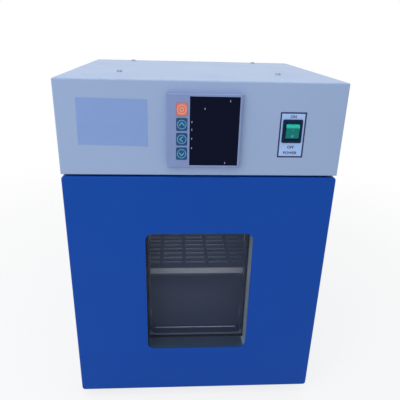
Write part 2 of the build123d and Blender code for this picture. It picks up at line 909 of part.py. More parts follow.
with BuildPart() as heater_bushes:
    with BuildSketch(upright(chamber_back - fan_air_gap / 3)):
        with Locations(*heater_leg_points):
            Circle(heater_bush_flange)
    extrude(amount=-fan_air_gap / 3)
    with BuildSketch(upright(chamber_back)):
        with Locations(*heater_leg_points):
            Circle(heater_bush_radius)
    extrude(amount=-heater_leg_bend)
    with BuildSketch(upright(chamber_back - fan_air_gap)):
        with Locations(*heater_leg_points):
            Circle(heater_tube + press_clearance)
    extrude(amount=-(heater_leg_bend + fan_air_gap), mode=Mode.SUBTRACT)
save(heater_bushes, "heater_bushes")

# Temperature probe above the duct panel

with BuildPart() as sensor_probe:
    with BuildSketch(upright(chamber_back + 2 * fan_air_gap)):
        with Locations(probe_spot):
            Circle(probe_radius)
    extrude(amount=probe_reach)
    fillet(sensor_probe.edges().group_by(Axis.Y)[0], probe_radius * 0.9)
    with BuildSketch(upright(chamber_back)):
        with Locations(probe_spot):
            RegularPolygon(probe_gland_radius, 6)
    extrude(amount=fan_air_gap)
save(sensor_probe, "sensor_probe")

# Temperature controller: bezel, display, four keys, sleeve, board and clamps

bezel_front = front - controller_proud
bezel_inner = bezel_front + controller_face
display_centre = (controller_x + display_x, controller_middle)
key_spots = [
    (controller_x + key_column, controller_middle + key_row_top - row * key_pitch) for row in range(key_count)
]

with BuildPart() as controller_bezel:
    with BuildSketch(upright(front)):
        with Locations((controller_x, controller_middle)):
            Rectangle(controller_size, controller_size)
    extrude(amount=controller_proud)
    fillet(controller_bezel.faces().sort_by(Axis.Y)[0].edges(), controller_edge)
    with BuildSketch(upright(front)):
        with Locations((controller_x, controller_middle)):
            inner_size = controller_body + 2 * panel_clearance
            Rectangle(inner_size, inner_size)
    extrude(amount=controller_proud - controller_face, mode=Mode.SUBTRACT)
    with BuildSketch(upright(bezel_front)):
        with Locations(display_centre):
            Rectangle(display_width, display_height)
        with Locations(*key_spots):
            RectangleRounded(
                key_width + 2 * key_clearance,
                key_height + 2 * key_clearance,
                key_corner + key_clearance,
            )
    extrude(amount=-controller_face, mode=Mode.SUBTRACT)
save(controller_bezel, "controller_bezel")

with BuildPart() as controller_display:
    with BuildSketch(upright(bezel_front + display_recess)):
        with Locations(display_centre):
            Rectangle(display_width, display_height)
    extrude(amount=-(controller_face - display_recess))
save(controller_display, "controller_display")

sleeve_back = bezel_inner + controller_length

with BuildPart() as controller_case:
    with BuildSketch(upright(bezel_inner)):
        with Locations((controller_x, controller_middle)):
            Rectangle(controller_body, controller_body)
    extrude(amount=-controller_length)
    with BuildSketch(upright(bezel_inner)):
        with Locations((controller_x, controller_middle)):
            inner_size = controller_body - 2 * controller_wall
            Rectangle(inner_size, inner_size)
    extrude(amount=-(controller_length - controller_wall), mode=Mode.SUBTRACT)
    with BuildSketch(upright(sleeve_back)):
        with Locations((controller_x, controller_middle)):
            with GridLocations(0, controller_body / 2, 1, 2):
                Rectangle(terminal_width, terminal_height)
    extrude(amount=-terminal_depth)
    with BuildSketch(upright(sleeve_back + terminal_depth)):
        with Locations((controller_x, controller_middle)):
            with GridLocations(terminal_width / 6, controller_body / 2, 6, 2):
                Rectangle(terminal_width / 8, terminal_height / 2)
    extrude(amount=terminal_depth / 2, mode=Mode.SUBTRACT)
save(controller_case, "controller_case")

board_front = bezel_inner + board_setback - controller_face

with BuildPart() as controller_board:
    with BuildSketch(upright(board_front)):
        with Locations((controller_x, controller_middle)):
            Rectangle(controller_body - 2 * controller_wall, controller_body - 2 * controller_wall)
    extrude(amount=-board_thickness)
    with BuildSketch(upright(board_front)):
        with Locations(display_centre):
            Rectangle(display_width - 4 * controller_wall, display_height - 4 * controller_wall)
    extrude(amount=board_front - bezel_inner)
save(controller_board, "controller_board")


def controller_key(spot, name):
    """A key cap with a flange that keeps it behind the bezel and a stem towards the board."""
    flange_front = bezel_inner + lap_clearance
    with BuildPart() as key:
        with BuildSketch(upright(flange_front)):
            with Locations(spot):
                RectangleRounded(key_width, key_height, key_corner)
        extrude(amount=flange_front - bezel_front + key_proud)
        fillet(key.faces().sort_by(Axis.Y)[0].edges(), key_proud / 2)
        with BuildSketch(upright(flange_front)):
            with Locations(spot):
                Rectangle(key_width + 2 * key_flange, key_height + 2 * key_flange)
        extrude(amount=-key_flange_sheet)
        with BuildSketch(upright(flange_front)):
            with Locations(spot):
                Circle(key_stem)
        extrude(amount=-(board_front - flange_front - key_travel - lap_clearance))
    save(key, name)


for spot, key_name in zip(key_spots, ("key_set", "key_up", "key_shift", "key_down")):
    controller_key(spot, key_name)

with BuildPart() as controller_clamps:
    for side in (-1, 1):
        with BuildSketch(upright(front + sheet)):
            with Locations((controller_x, controller_middle + side * (controller_body + clamp_height) / 2)):
                Rectangle(clamp_width, clamp_height)
        extrude(amount=-clamp_length)
        with BuildSketch(upright(front + sheet)):
            with Locations((controller_x, controller_middle + side * (controller_body / 2 + clamp_height))):
                Rectangle(clamp_width / 2, clamp_height)
        extrude(amount=-clamp_length / 3)
save(controller_clamps, "controller_clamps")

# Power switch: housing, rocker on two trunnions and spade terminals

pocket_width = rocker_width + 2 * rocker_clearance
pocket_height = rocker_height + 4 * rocker_clearance
pivot_y = front + rocker_pivot

with BuildPart() as switch_housing:
    with BuildSketch(upright(front)):
        with Locations((switch_x, switch_middle)):
            RectangleRounded(switch_width, switch_height, switch_corner)
    extrude(amount=switch_proud)
    fillet(switch_housing.faces().sort_by(Axis.Y)[0].edges(), switch_corner / 2)
    with BuildSketch(upright(front)):
        with Locations((switch_x, switch_middle)):
            Rectangle(switch_body_width, switch_body_height)
    extrude(amount=-switch_body_depth)
    with BuildSketch(upright(front - switch_proud)):
        with Locations((switch_x, switch_middle)):
            Rectangle(pocket_width, pocket_height)
    extrude(amount=-(switch_pocket_depth + switch_proud), mode=Mode.SUBTRACT)
    with BuildSketch(Plane.YZ.offset(switch_x - pocket_width / 2 - trunnion_length)):
        with Locations((pivot_y, switch_middle)):
            Circle(trunnion_radius + pin_clearance)
    extrude(amount=pocket_width + 2 * trunnion_length, mode=Mode.SUBTRACT)
save(switch_housing, "switch_housing")

# The rocker stands turned about its trunnions, with its upper end out: switched off

with BuildPart() as switch_rocker:
    lean = radians(rocker_swing / 2)
    rocker_side = Plane(
        origin=(switch_x - rocker_width / 2, pivot_y, switch_middle),
        x_dir=(0, cos(lean), sin(lean)),
        z_dir=(1, 0, 0),
    )
    with BuildSketch(rocker_side):
        with BuildLine():
            flat = rocker_height / 2 - rocker_shoulder
            FilletPolyline(
                (rocker_tail, -rocker_height / 2),
                (-rocker_reach, -rocker_height / 2),
                (-rocker_reach, rocker_height / 2),
                (rocker_tail, rocker_height / 2),
                radius=rocker_shoulder,
            )
            Line((rocker_tail, rocker_height / 2), (rocker_tail, -rocker_height / 2))
        make_face()
        with BuildLine():
            ThreePointArc((-rocker_reach, -flat), (-rocker_reach + rocker_dish, 0), (-rocker_reach, flat))
            Line((-rocker_reach, flat), (-rocker_reach, -flat))
        make_face(mode=Mode.SUBTRACT)
    extrude(amount=rocker_width)
    with BuildSketch(Plane.YZ.offset(switch_x - rocker_width / 2 - trunnion_length)):
        with Locations((pivot_y, switch_middle)):
            Circle(trunnion_radius)
    extrude(amount=rocker_width + 2 * trunnion_length)
save(switch_rocker, "switch_rocker")

with BuildPart() as switch_terminals:
    with BuildSketch(upright(front + switch_body_depth)):
        with Locations((switch_x, switch_middle)):
            with GridLocations(switch_body_width / 2, switch_body_height / 2, 2, 2):
                Rectangle(spade_thickness, spade_width)
    extrude(amount=-spade_length)
save(switch_terminals, "switch_terminals")

# Electrics on the deck, and the mains gland in the rear panel

with BuildPart() as heater_relay:
    with BuildSketch(Plane.XY.offset(deck_top)):
        with Locations((relay_x, back - relay_setback)):
            Rectangle(relay_width, relay_length)
    extrude(amount=relay_height)
    chamfer(heater_relay.edges().group_by(Axis.Z)[-1], relay_fin)
    with BuildSketch(Plane.XY.offset(deck_top)):
        with Locations((relay_x, back - relay_setback)):
            with Locations((relay_width / 2 + relay_fin_height / 2, 0)):
                Rectangle(relay_fin_height, relay_length)
    extrude(amount=relay_fin)
    with BuildSketch(Plane.XY.offset(deck_top + relay_fin)):
        with Locations((relay_x + relay_width / 2 + relay_fin_height / 2 + relay_fin, back - relay_setback)):
            with GridLocations(2 * relay_fin, 0, relay_fins // 2 + 1, 1):
                Rectangle(relay_fin / 2, relay_length)
    extrude(amount=relay_height - relay_fin)
save(heater_relay, "heater_relay")

with BuildPart() as terminal_block:
    with BuildSketch(Plane.XY.offset(deck_top)):
        with Locations((block_x, back - block_setback)):
            Rectangle(block_length, block_width)
    extrude(amount=block_height)
    with BuildSketch(Plane.XY.offset(deck_top + block_height)):
        with Locations((block_x, back - block_setback)):
            with GridLocations(block_length / 6, 0, 6, 1):
                Rectangle(block_length / 9, block_width / 2)
    extrude(amount=-block_height / 3, mode=Mode.SUBTRACT)
save(terminal_block, "terminal_block")

gland_hex_depth = gland_projection / 2.6

with BuildPart() as mains_gland:
    with BuildSketch(upright(back)):
        with Locations(gland_spot):
            RegularPolygon(gland_hex, 6)
    extrude(amount=-gland_hex_depth)
    with BuildSketch(upright(back + gland_hex_depth)):
        with Locations(gland_spot):
            Circle(gland_dome)
    extrude(amount=-(gland_projection - gland_hex_depth))
    fillet(mains_gland.edges().group_by(Axis.Y)[-1], gland_dome / 3)
    with BuildSketch(upright(back)):
        with Locations(gland_spot):
            Circle(gland_thread)
    extrude(amount=sheet + gland_nut + 2 * sheet)
    with BuildSketch(upright(back - sheet)):
        with Locations(gland_spot):
            RegularPolygon(gland_hex, 6)
    extrude(amount=gland_nut)
    with BuildSketch(upright(back + gland_projection)):
        with Locations(gland_spot):
            Circle(gland_bore)
    extrude(amount=gland_projection + 3 * sheet + gland_nut, mode=Mode.SUBTRACT)
save(mains_gland, "mains_gland")

# Door: folded skin, window, inner panel and magnetic gasket

with BuildPart() as door_skin:
    with BuildSketch(upright(front)) as door_outline:
        with Locations((0, door_middle)):
            Rectangle(case_width, door_height)
        fillet(door_outline.vertices().group_by(Axis.Z)[0], door_corner_radius)
    extrude(amount=-(door_thickness - sheet))
    fillet(door_skin.faces().sort_by(Axis.Y)[0].edges(), door_edge_radius)
    with BuildSketch(upright(front + sheet)) as door_hollow:
        with Locations((0, door_middle)):
            Rectangle(case_width - 2 * sheet, door_height - 2 * sheet)
        fillet(door_hollow.vertices().group_by(Axis.Z)[0], door_corner_radius - sheet)
    extrude(amount=-(door_thickness - 3 * sheet), mode=Mode.SUBTRACT)
    with BuildSketch(upright(door_back)):
        with Locations((0, door_middle)):
            Rectangle(case_width - 2 * door_return, door_height - 2 * door_return)
    extrude(amount=4 * sheet, mode=Mode.SUBTRACT)
    with BuildSketch(upright(front)):
        with Locations((0, window_middle)):
            RectangleRounded(window_width, window_height, window_radius)
    extrude(amount=-sheet, mode=Mode.SUBTRACT)
    with BuildSketch(Plane.XY.offset(door_bottom)):
        with Locations((hinge_x, hinge_y)):
            Circle(bush_radius + press_clearance)
    extrude(amount=door_height, mode=Mode.SUBTRACT)
save(door_skin, "door_skin")

frame_outer_width = window_width + 2 * reveal_flange
frame_outer_height = window_height + 2 * reveal_flange
reveal_back = front + reveal_depth
glass_front = reveal_back + seal_lip
glass_back = glass_front + glass_thickness
seal_back = glass_back + seal_lip
retainer_back = seal_back + sheet
inner_window_width = window_width - 2 * inner_window_margin
inner_window_height = window_height - 2 * inner_window_margin

with BuildPart() as window_frame:
    with BuildSketch(upright(front + sheet)):
        with Locations((0, window_middle)):
            Rectangle(frame_outer_width, frame_outer_height)
    extrude(amount=-reveal_sheet)
    with BuildSketch(upright(front + sheet)):
        with Locations((0, window_middle)):
            Rectangle(window_width + 2 * reveal_sheet, window_height + 2 * reveal_sheet)
    extrude(amount=-(reveal_depth - sheet))
    with BuildSketch(upright(reveal_back)):
        with Locations((0, window_middle)):
            Rectangle(frame_outer_width, frame_outer_height)
    extrude(amount=reveal_sheet)
    with BuildSketch(upright(front)):
        with Locations((0, window_middle)):
            Rectangle(window_width, window_height)
    extrude(amount=-reveal_depth, mode=Mode.SUBTRACT)
save(window_frame, "window_frame")

with BuildPart() as window_seal:
    with BuildSketch(upright(reveal_back)):
        with Locations((0, window_middle)):
            Rectangle(window_width + 2 * (glass_bite + seal_wrap), window_height + 2 * (glass_bite + seal_wrap))
            Rectangle(
                window_width - 2 * seal_reach,
                window_height - 2 * seal_reach,
                mode=Mode.SUBTRACT,
            )
    extrude(amount=-(seal_back - reveal_back))
    with BuildSketch(upright(glass_front)):
        with Locations((0, window_middle)):
            Rectangle(window_width + 2 * glass_bite, window_height + 2 * glass_bite)
    extrude(amount=-glass_thickness, mode=Mode.SUBTRACT)
save(window_seal, "window_seal")

with BuildPart() as window_glass:
    with BuildSketch(upright(glass_front)):
        with Locations((0, window_middle)):
            Rectangle(window_width + 2 * glass_bite, window_height + 2 * glass_bite)
    extrude(amount=-glass_thickness)
save(window_glass, "window_glass")

with BuildPart() as window_retainer:
    with BuildSketch(upright(seal_back)):
        with Locations((0, window_middle)):
            Rectangle(frame_outer_width, frame_outer_height)
            RectangleRounded(
                inner_window_width,
                inner_window_height,
                inner_window_radius,
                mode=Mode.SUBTRACT,
            )
    extrude(amount=-sheet)
save(window_retainer, "window_retainer")

door_screw_points = [
    (x, z)
    for z in (door_bottom + door_screw_inset, door_top - door_screw_inset)
    for x in (-half_width / 2, 0, half_width / 2)
] + [
    (side * (half_width - door_screw_inset), door_middle + rise * door_height / 4)
    for side in (-1, 1)
    for rise in (-1, 1)
]

with BuildPart() as door_inner_panel:
    with BuildSketch(upright(door_back)) as panel_outline:
        with Locations((0, door_middle)):
            Rectangle(case_width - 2 * inner_panel_inset, door_height - 2 * inner_panel_inset)
        fillet(panel_outline.vertices(), door_corner_radius - inner_panel_inset)
    extrude(amount=sheet)
    with BuildSketch(upright(retainer_back)):
        with Locations((0, window_middle)):
            RectangleRounded(
                inner_window_width + 2 * sheet,
                inner_window_height + 2 * sheet,
                inner_window_radius + sheet,
            )
    extrude(amount=-(door_back - retainer_back))
    with BuildSketch(upright(retainer_back)):
        with Locations((0, window_middle)):
            RectangleRounded(inner_window_width, inner_window_height, inner_window_radius)
    extrude(amount=-(door_back - retainer_back), mode=Mode.SUBTRACT)
    with BuildSketch(upright(door_back)):
        with Locations(*door_screw_points):
            Circle(small_screw_radius + press_clearance)
    extrude(amount=sheet, mode=Mode.SUBTRACT)
save(door_inner_panel, "door_inner_panel")

inner_glass_width = inner_window_width + 2 * inner_glass_bite
inner_glass_height = inner_window_height + 2 * inner_glass_bite
inner_glass_back = door_back + inner_glass_thickness

with BuildPart() as inner_glass:
    with BuildSketch(upright(door_back)):
        with Locations((0, window_middle)):
            RectangleRounded(inner_glass_width, inner_glass_height, inner_glass_bite)
    extrude(amount=-inner_glass_thickness)
save(inner_glass, "inner_glass")

with BuildPart() as glass_clips:
    for side in (-1, 1):
        for z in (window_middle - inner_glass_height / 3, window_middle + inner_glass_height / 3):
            edge = side * inner_glass_width / 2
            with BuildSketch(upright(door_back)):
                with Locations((edge + side * clip_size / 2, z)):
                    Rectangle(clip_size, clip_size)
            extrude(amount=-inner_glass_thickness)
            with BuildSketch(upright(inner_glass_back)):
                with Locations((edge + side * clip_size / 4, z)):
                    Rectangle(clip_size * 1.5, clip_size)
            extrude(amount=-clip_lip)
save(glass_clips, "glass_clips")

with BuildPart() as door_insulation:
    wool_depth = door_thickness - 3 * sheet - 2 * wool_gap
    with BuildSketch(upright(front + sheet + wool_gap)) as wool_outline:
        with Locations((0, door_middle)):
            Rectangle(case_width - 2 * (sheet + wool_gap), door_height - 2 * (sheet + wool_gap))
        fillet(wool_outline.vertices().group_by(Axis.Z)[0], door_corner_radius)
        with Locations((0, window_middle)):
            Rectangle(frame_outer_width + 2 * wool_gap, frame_outer_height + 2 * wool_gap, mode=Mode.SUBTRACT)
    extrude(amount=-wool_depth)
    for plane, depth in (
        (Plane.XY.offset(door_bottom), pin_engagement + 2 * pin_radius),
        (Plane.XY.offset(door_top), -(pin_engagement + 2 * pin_radius)),
    ):
        with BuildSketch(plane):
            with Locations((hinge_x, hinge_y)):
                Circle(bush_radius + wool_gap)
        extrude(amount=depth, mode=Mode.SUBTRACT)
save(door_insulation, "door_insulation")

gasket_outer_width = case_width - 2 * gasket_inset
gasket_outer_height = door_height - 2 * gasket_inset
bulb_inset = (gasket_width - gasket_bulb) / 2

with BuildPart() as door_gasket:
    with BuildSketch(upright(door_back)):
        with Locations((0, door_middle)):
            Rectangle(gasket_outer_width, gasket_outer_height)
            Rectangle(
                gasket_outer_width - 2 * gasket_width,
                gasket_outer_height - 2 * gasket_width,
                mode=Mode.SUBTRACT,
            )
    extrude(amount=-gasket_base)
    with BuildSketch(upright(door_back + gasket_base)):
        with Locations((0, door_middle)):
            Rectangle(gasket_outer_width - 2 * bulb_inset, gasket_outer_height - 2 * bulb_inset)
            Rectangle(
                gasket_outer_width - 2 * (gasket_width - bulb_inset),
                gasket_outer_height - 2 * (gasket_width - bulb_inset),
                mode=Mode.SUBTRACT,
            )
    extrude(amount=-(gasket_thickness - gasket_base))
    chamfer(door_gasket.faces().sort_by(Axis.Y)[-1].edges(), gasket_base / 2)
save(door_gasket, "door_gasket")

screw_group(
    "door_screws",
    [(rear_face(door_back), [(-x, z) for x, z in door_screw_points], sheet)],
    small_head_radius,
    small_head_height,
    small_screw_radius,
)

# Hinge: a bracket below, a plate in the hood above, a pin in each and bushes in the door

bush_length = pin_engagement + pin_radius

with BuildPart() as hinge_bushes:
    for plane, direction in ((Plane.XY.offset(door_bottom), 1), (Plane.XY.offset(door_top), -1)):
        with BuildSketch(plane):
            with Locations((hinge_x, hinge_y)):
                Circle(bush_flange_radius)
        extrude(amount=-direction * bush_flange)
        with BuildSketch(plane):
            with Locations((hinge_x, hinge_y)):
                Circle(bush_radius)
        extrude(amount=direction * bush_length)
    with BuildSketch(Plane.XY.offset(case_bottom)):
        with Locations((hinge_x, hinge_y)):
            Circle(pin_radius + pin_clearance)
    extrude(amount=case_height, mode=Mode.SUBTRACT)
save(hinge_bushes, "hinge_bushes")

bracket_end = face_front + hinge_plate_reach

with BuildPart() as hinge_bracket_lower:
    with BuildSketch(Plane.XY.offset(case_bottom)):
        with Locations((hinge_x, hinge_y)):
            Circle(hinge_plate_width / 2)
        with Locations((hinge_x, (hinge_y + bracket_end) / 2)):
            Rectangle(hinge_plate_width, bracket_end - hinge_y)
        with Locations((hinge_x, hinge_y)):
            Circle(pin_radius + press_clearance, mode=Mode.SUBTRACT)
        with Locations(*hinge_screw_points):
            Circle(small_screw_radius + press_clearance, mode=Mode.SUBTRACT)
    extrude(amount=-hinge_plate)
save(hinge_bracket_lower, "hinge_bracket_lower")

upper_plate_low = control_bottom + sheet

with BuildPart() as hinge_plate_upper:
    with BuildSketch(Plane.XY.offset(upper_plate_low)):
        with Locations((hinge_x - panel_clearance, (front + sheet + face_front) / 2)):
            Rectangle(2 * (inner_half - hinge_x), face_front - front - sheet)
        with Locations((hinge_x, hinge_y)):
            Circle(pin_radius + press_clearance, mode=Mode.SUBTRACT)
    extrude(amount=hinge_plate)
save(hinge_plate_upper, "hinge_plate_upper")

with BuildPart() as hinge_pins:
    for plane, direction, carrier in (
        (Plane.XY.offset(case_bottom - hinge_plate), 1, hinge_plate + bush_flange),
        (Plane.XY.offset(upper_plate_low + hinge_plate), -1, hinge_plate + sheet + door_gap),
    ):
        with BuildSketch(plane):
            with Locations((hinge_x, hinge_y)):
                Circle(pin_head_radius)
        extrude(amount=-direction * pin_head_height)
        with BuildSketch(plane):
            with Locations((hinge_x, hinge_y)):
                Circle(pin_radius)
        extrude(amount=direction * (carrier + pin_engagement))
save(hinge_pins, "hinge_pins")

screw_group(
    "base_screws",
    [
        (
            underside(case_bottom - hinge_plate),
            [(x, -y) for x, y in hinge_screw_points],
            hinge_plate + 2 * sheet,
        ),
        (
            underside(foot_height / 2),
            [(x, -y) for x, y in foot_points],
            foot_height / 2 + 2 * sheet,
        ),
    ],
    small_head_radius,
    small_head_height,
    small_screw_radius,
)
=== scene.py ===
import json
from math import cos, radians, sin

import bpy
import numpy as np
from mathutils import Matrix, Vector


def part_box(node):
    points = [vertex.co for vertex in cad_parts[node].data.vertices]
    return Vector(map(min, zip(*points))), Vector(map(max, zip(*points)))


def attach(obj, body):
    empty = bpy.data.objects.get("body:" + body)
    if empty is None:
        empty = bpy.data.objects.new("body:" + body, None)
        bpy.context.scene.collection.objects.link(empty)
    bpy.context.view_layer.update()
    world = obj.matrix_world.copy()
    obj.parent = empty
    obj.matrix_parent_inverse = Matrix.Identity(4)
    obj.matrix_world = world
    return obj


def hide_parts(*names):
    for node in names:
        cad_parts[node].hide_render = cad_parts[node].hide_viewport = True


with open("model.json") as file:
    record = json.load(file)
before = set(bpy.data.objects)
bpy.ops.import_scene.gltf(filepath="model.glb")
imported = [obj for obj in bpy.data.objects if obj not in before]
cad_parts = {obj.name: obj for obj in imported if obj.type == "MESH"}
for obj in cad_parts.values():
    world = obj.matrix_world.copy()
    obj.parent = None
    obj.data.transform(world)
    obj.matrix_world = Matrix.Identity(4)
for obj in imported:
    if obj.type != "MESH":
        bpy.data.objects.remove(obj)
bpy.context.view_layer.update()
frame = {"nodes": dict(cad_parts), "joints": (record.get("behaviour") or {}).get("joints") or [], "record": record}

bl_info = {
    "name": "Laboratory incubator",
    "version": (1, 0, 0),
    "blender": (4, 5, 0),
    "location": "View3D > Sidebar > Incubator",
    "description": "Finishes and small pieces of a bench-top laboratory incubator",
    "category": "Object",
}

MM = 0.001
PRINT_RELIEF = 0.05 * MM


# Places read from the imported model

def node_box(node):
    """The lowest and highest corner of a CAD node, as arrays."""
    low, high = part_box(node)
    return np.array(low), np.array(high)


def front_middle(node):
    """The middle of a CAD node's box as seen from the front, in x and z."""
    low, high = node_box(node)
    return (low[[0, 2]] + high[[0, 2]]) / 2


def mesh_points(mesh):
    """All corner points of a mesh as one array."""
    points = np.empty(3 * len(mesh.vertices))
    mesh.vertices.foreach_get("co", points)
    return points.reshape(-1, 3)


FASCIA_FACE = node_box("front_fascia")[0][1]


# Settings that a user would change

def number_setting(name, description, default, **more):
    """A number that the user can set."""
    return bpy.props.FloatProperty(name=name, description=description, default=default, **more)


def length_setting(name, description, millimetres):
    """A length that the user can set, with its default in millimetres."""
    return number_setting(name, description, millimetres * MM, unit="LENGTH")


def colour_setting(name, description, default):
    """A colour that the user can set."""
    return bpy.props.FloatVectorProperty(name=name, description=description, default=default, subtype="COLOR")


class IncubatorPaint(bpy.types.PropertyGroup):
    """Colours of the sprayed sheet metal, the moulded parts and the prints."""

    case: colour_setting("Case", "Enamel of the hood, the cover and the sides", (0.330, 0.440, 0.660))
    door: colour_setting("Door", "Enamel of the door", (0.003, 0.066, 0.385))
    controller: colour_setting("Controller", "Moulded bezel of the controller", (0.215, 0.285, 0.530))
    display: colour_setting("Display", "Dark window over the digits", (0.003, 0.005, 0.018))
    set_key: colour_setting("Set key", "The key that opens the settings", (0.720, 0.180, 0.125))
    arrow_key: colour_setting("Arrow keys", "The keys that change a value", (0.010, 0.080, 0.205))
    switch: colour_setting("Switch housing", "Frame round the rocker", (0.003, 0.014, 0.050))
    rocker: colour_setting("Rocker", "Rocker of the power switch", (0.003, 0.200, 0.180))
    plate: colour_setting("Switch plate", "Plate behind the power switch", (0.370, 0.540, 0.900))
    paper: colour_setting("Label", "Bare paper label on the fascia", (0.225, 0.345, 0.660))
    roughness: number_setting(
        "Enamel roughness", "Roughness of the sprayed enamel", 0.40, min=0.05, max=1.0, subtype="FACTOR"
    )


class IncubatorLabel(bpy.types.PropertyGroup):
    """Size and place of the bare paper label on the fascia."""

    width: length_setting("Width", "Width of the label", 90.5)
    height: length_setting("Height", "Height of the label", 61.0)
    left: length_setting("Left inset", "From the fascia's left edge to the label", 27.5)
    rise: length_setting("Rise", "From the fascia's lower edge to the label", 41.0)
    tilt: number_setting("Tilt", "Turn of the label, clockwise", radians(0.8), unit="ROTATION")
    thickness: length_setting("Thickness", "Thickness of the paper", 0.14)


class IncubatorSwitchPlate(bpy.types.PropertyGroup):
    """Size of the plate behind the power switch, and of its words."""

    width: length_setting("Width", "Width of the plate", 35.0)
    height: length_setting("Height", "Height of the plate", 61.3)
    drop: length_setting("Drop", "From the switch's middle down to the plate's middle", 5.2)
    border: length_setting("Border", "Width of the dark border", 2.0)
    thickness: length_setting("Thickness", "Thickness of the plate", 0.4)
    letter_height: length_setting("Letter height", "Height of the capitals", 4.2)


class IncubatorKeys(bpy.types.PropertyGroup):
    """Size of the signs on the controller's keys."""

    ring: length_setting("Ring radius", "Radius of the ring on a key", 6.1)
    stroke: length_setting("Stroke", "Width of a ring's stroke", 0.95)
    relief: length_setting("Relief", "Height of the print on a key", 0.06)


class IncubatorStage(bpy.types.PropertyGroup):
    """Camera, lamps and room light."""

    lens: number_setting("Focal length", "Focal length in millimetres", 38.18)
    pitch: number_setting("Pitch", "Camera tilt below level", radians(21.83), unit="ROTATION")
    yaw: number_setting("Yaw", "Camera turn to the left", -0.06516, unit="ROTATION")
    roll: number_setting("Roll", "Camera turn about its view", 0.02647, unit="ROTATION")
    place: bpy.props.FloatVectorProperty(
        name="Camera", description="Place of the camera", subtype="TRANSLATION",
        default=(-0.0369, -0.7262, 0.5809),
    )
    sky: number_setting("Room light", "Strength of the even light of the room", 0.55)
    ceiling: number_setting("Ceiling lamp", "Power of the lamp above", 10.0, unit="POWER")
    side: number_setting("Side lamp", "Power of the lamp at the front left", 9.0, unit="POWER")


# Shader maths written as sums

class Wire:
    """A node's output. Sums and products with it add the Math nodes that work them out."""

    def __init__(self, finish, socket):
        self.finish = finish
        self.socket = socket

    def math(self, operation, *values):
        """A Math node on this output and the values."""
        return self.finish.node("ShaderNodeMath", {"operation": operation}, dict(enumerate((self, *values))))

    def __add__(self, other):
        return self.math("ADD", other)

    __radd__ = __add__

    def __sub__(self, other):
        return self.math("SUBTRACT", other)

    def __rsub__(self, other):
        return self.finish.node("ShaderNodeMath", {"operation": "SUBTRACT"}, {0: other, 1: self})

    def __mul__(self, other):
        return self.math("MULTIPLY", other)

    def __pow__(self, other):
        return self.math("POWER", other)

    def least(self, other):
        """The smaller of the two."""
        return self.math("MINIMUM", other)

    def most(self, other):
        """The larger of the two."""
        return self.math("MAXIMUM", other)

    def size(self):
        """The value without its sign."""
        return self.math("ABSOLUTE")

    def ramp(self, start, end):
        """0 below start, 1 past end and smooth between them; start may be the larger."""
        return self.finish.node(
            "ShaderNodeMapRange",
            {"interpolation_type": "SMOOTHSTEP"},
            {"Value": self, "From Min": start, "From Max": end},
        )


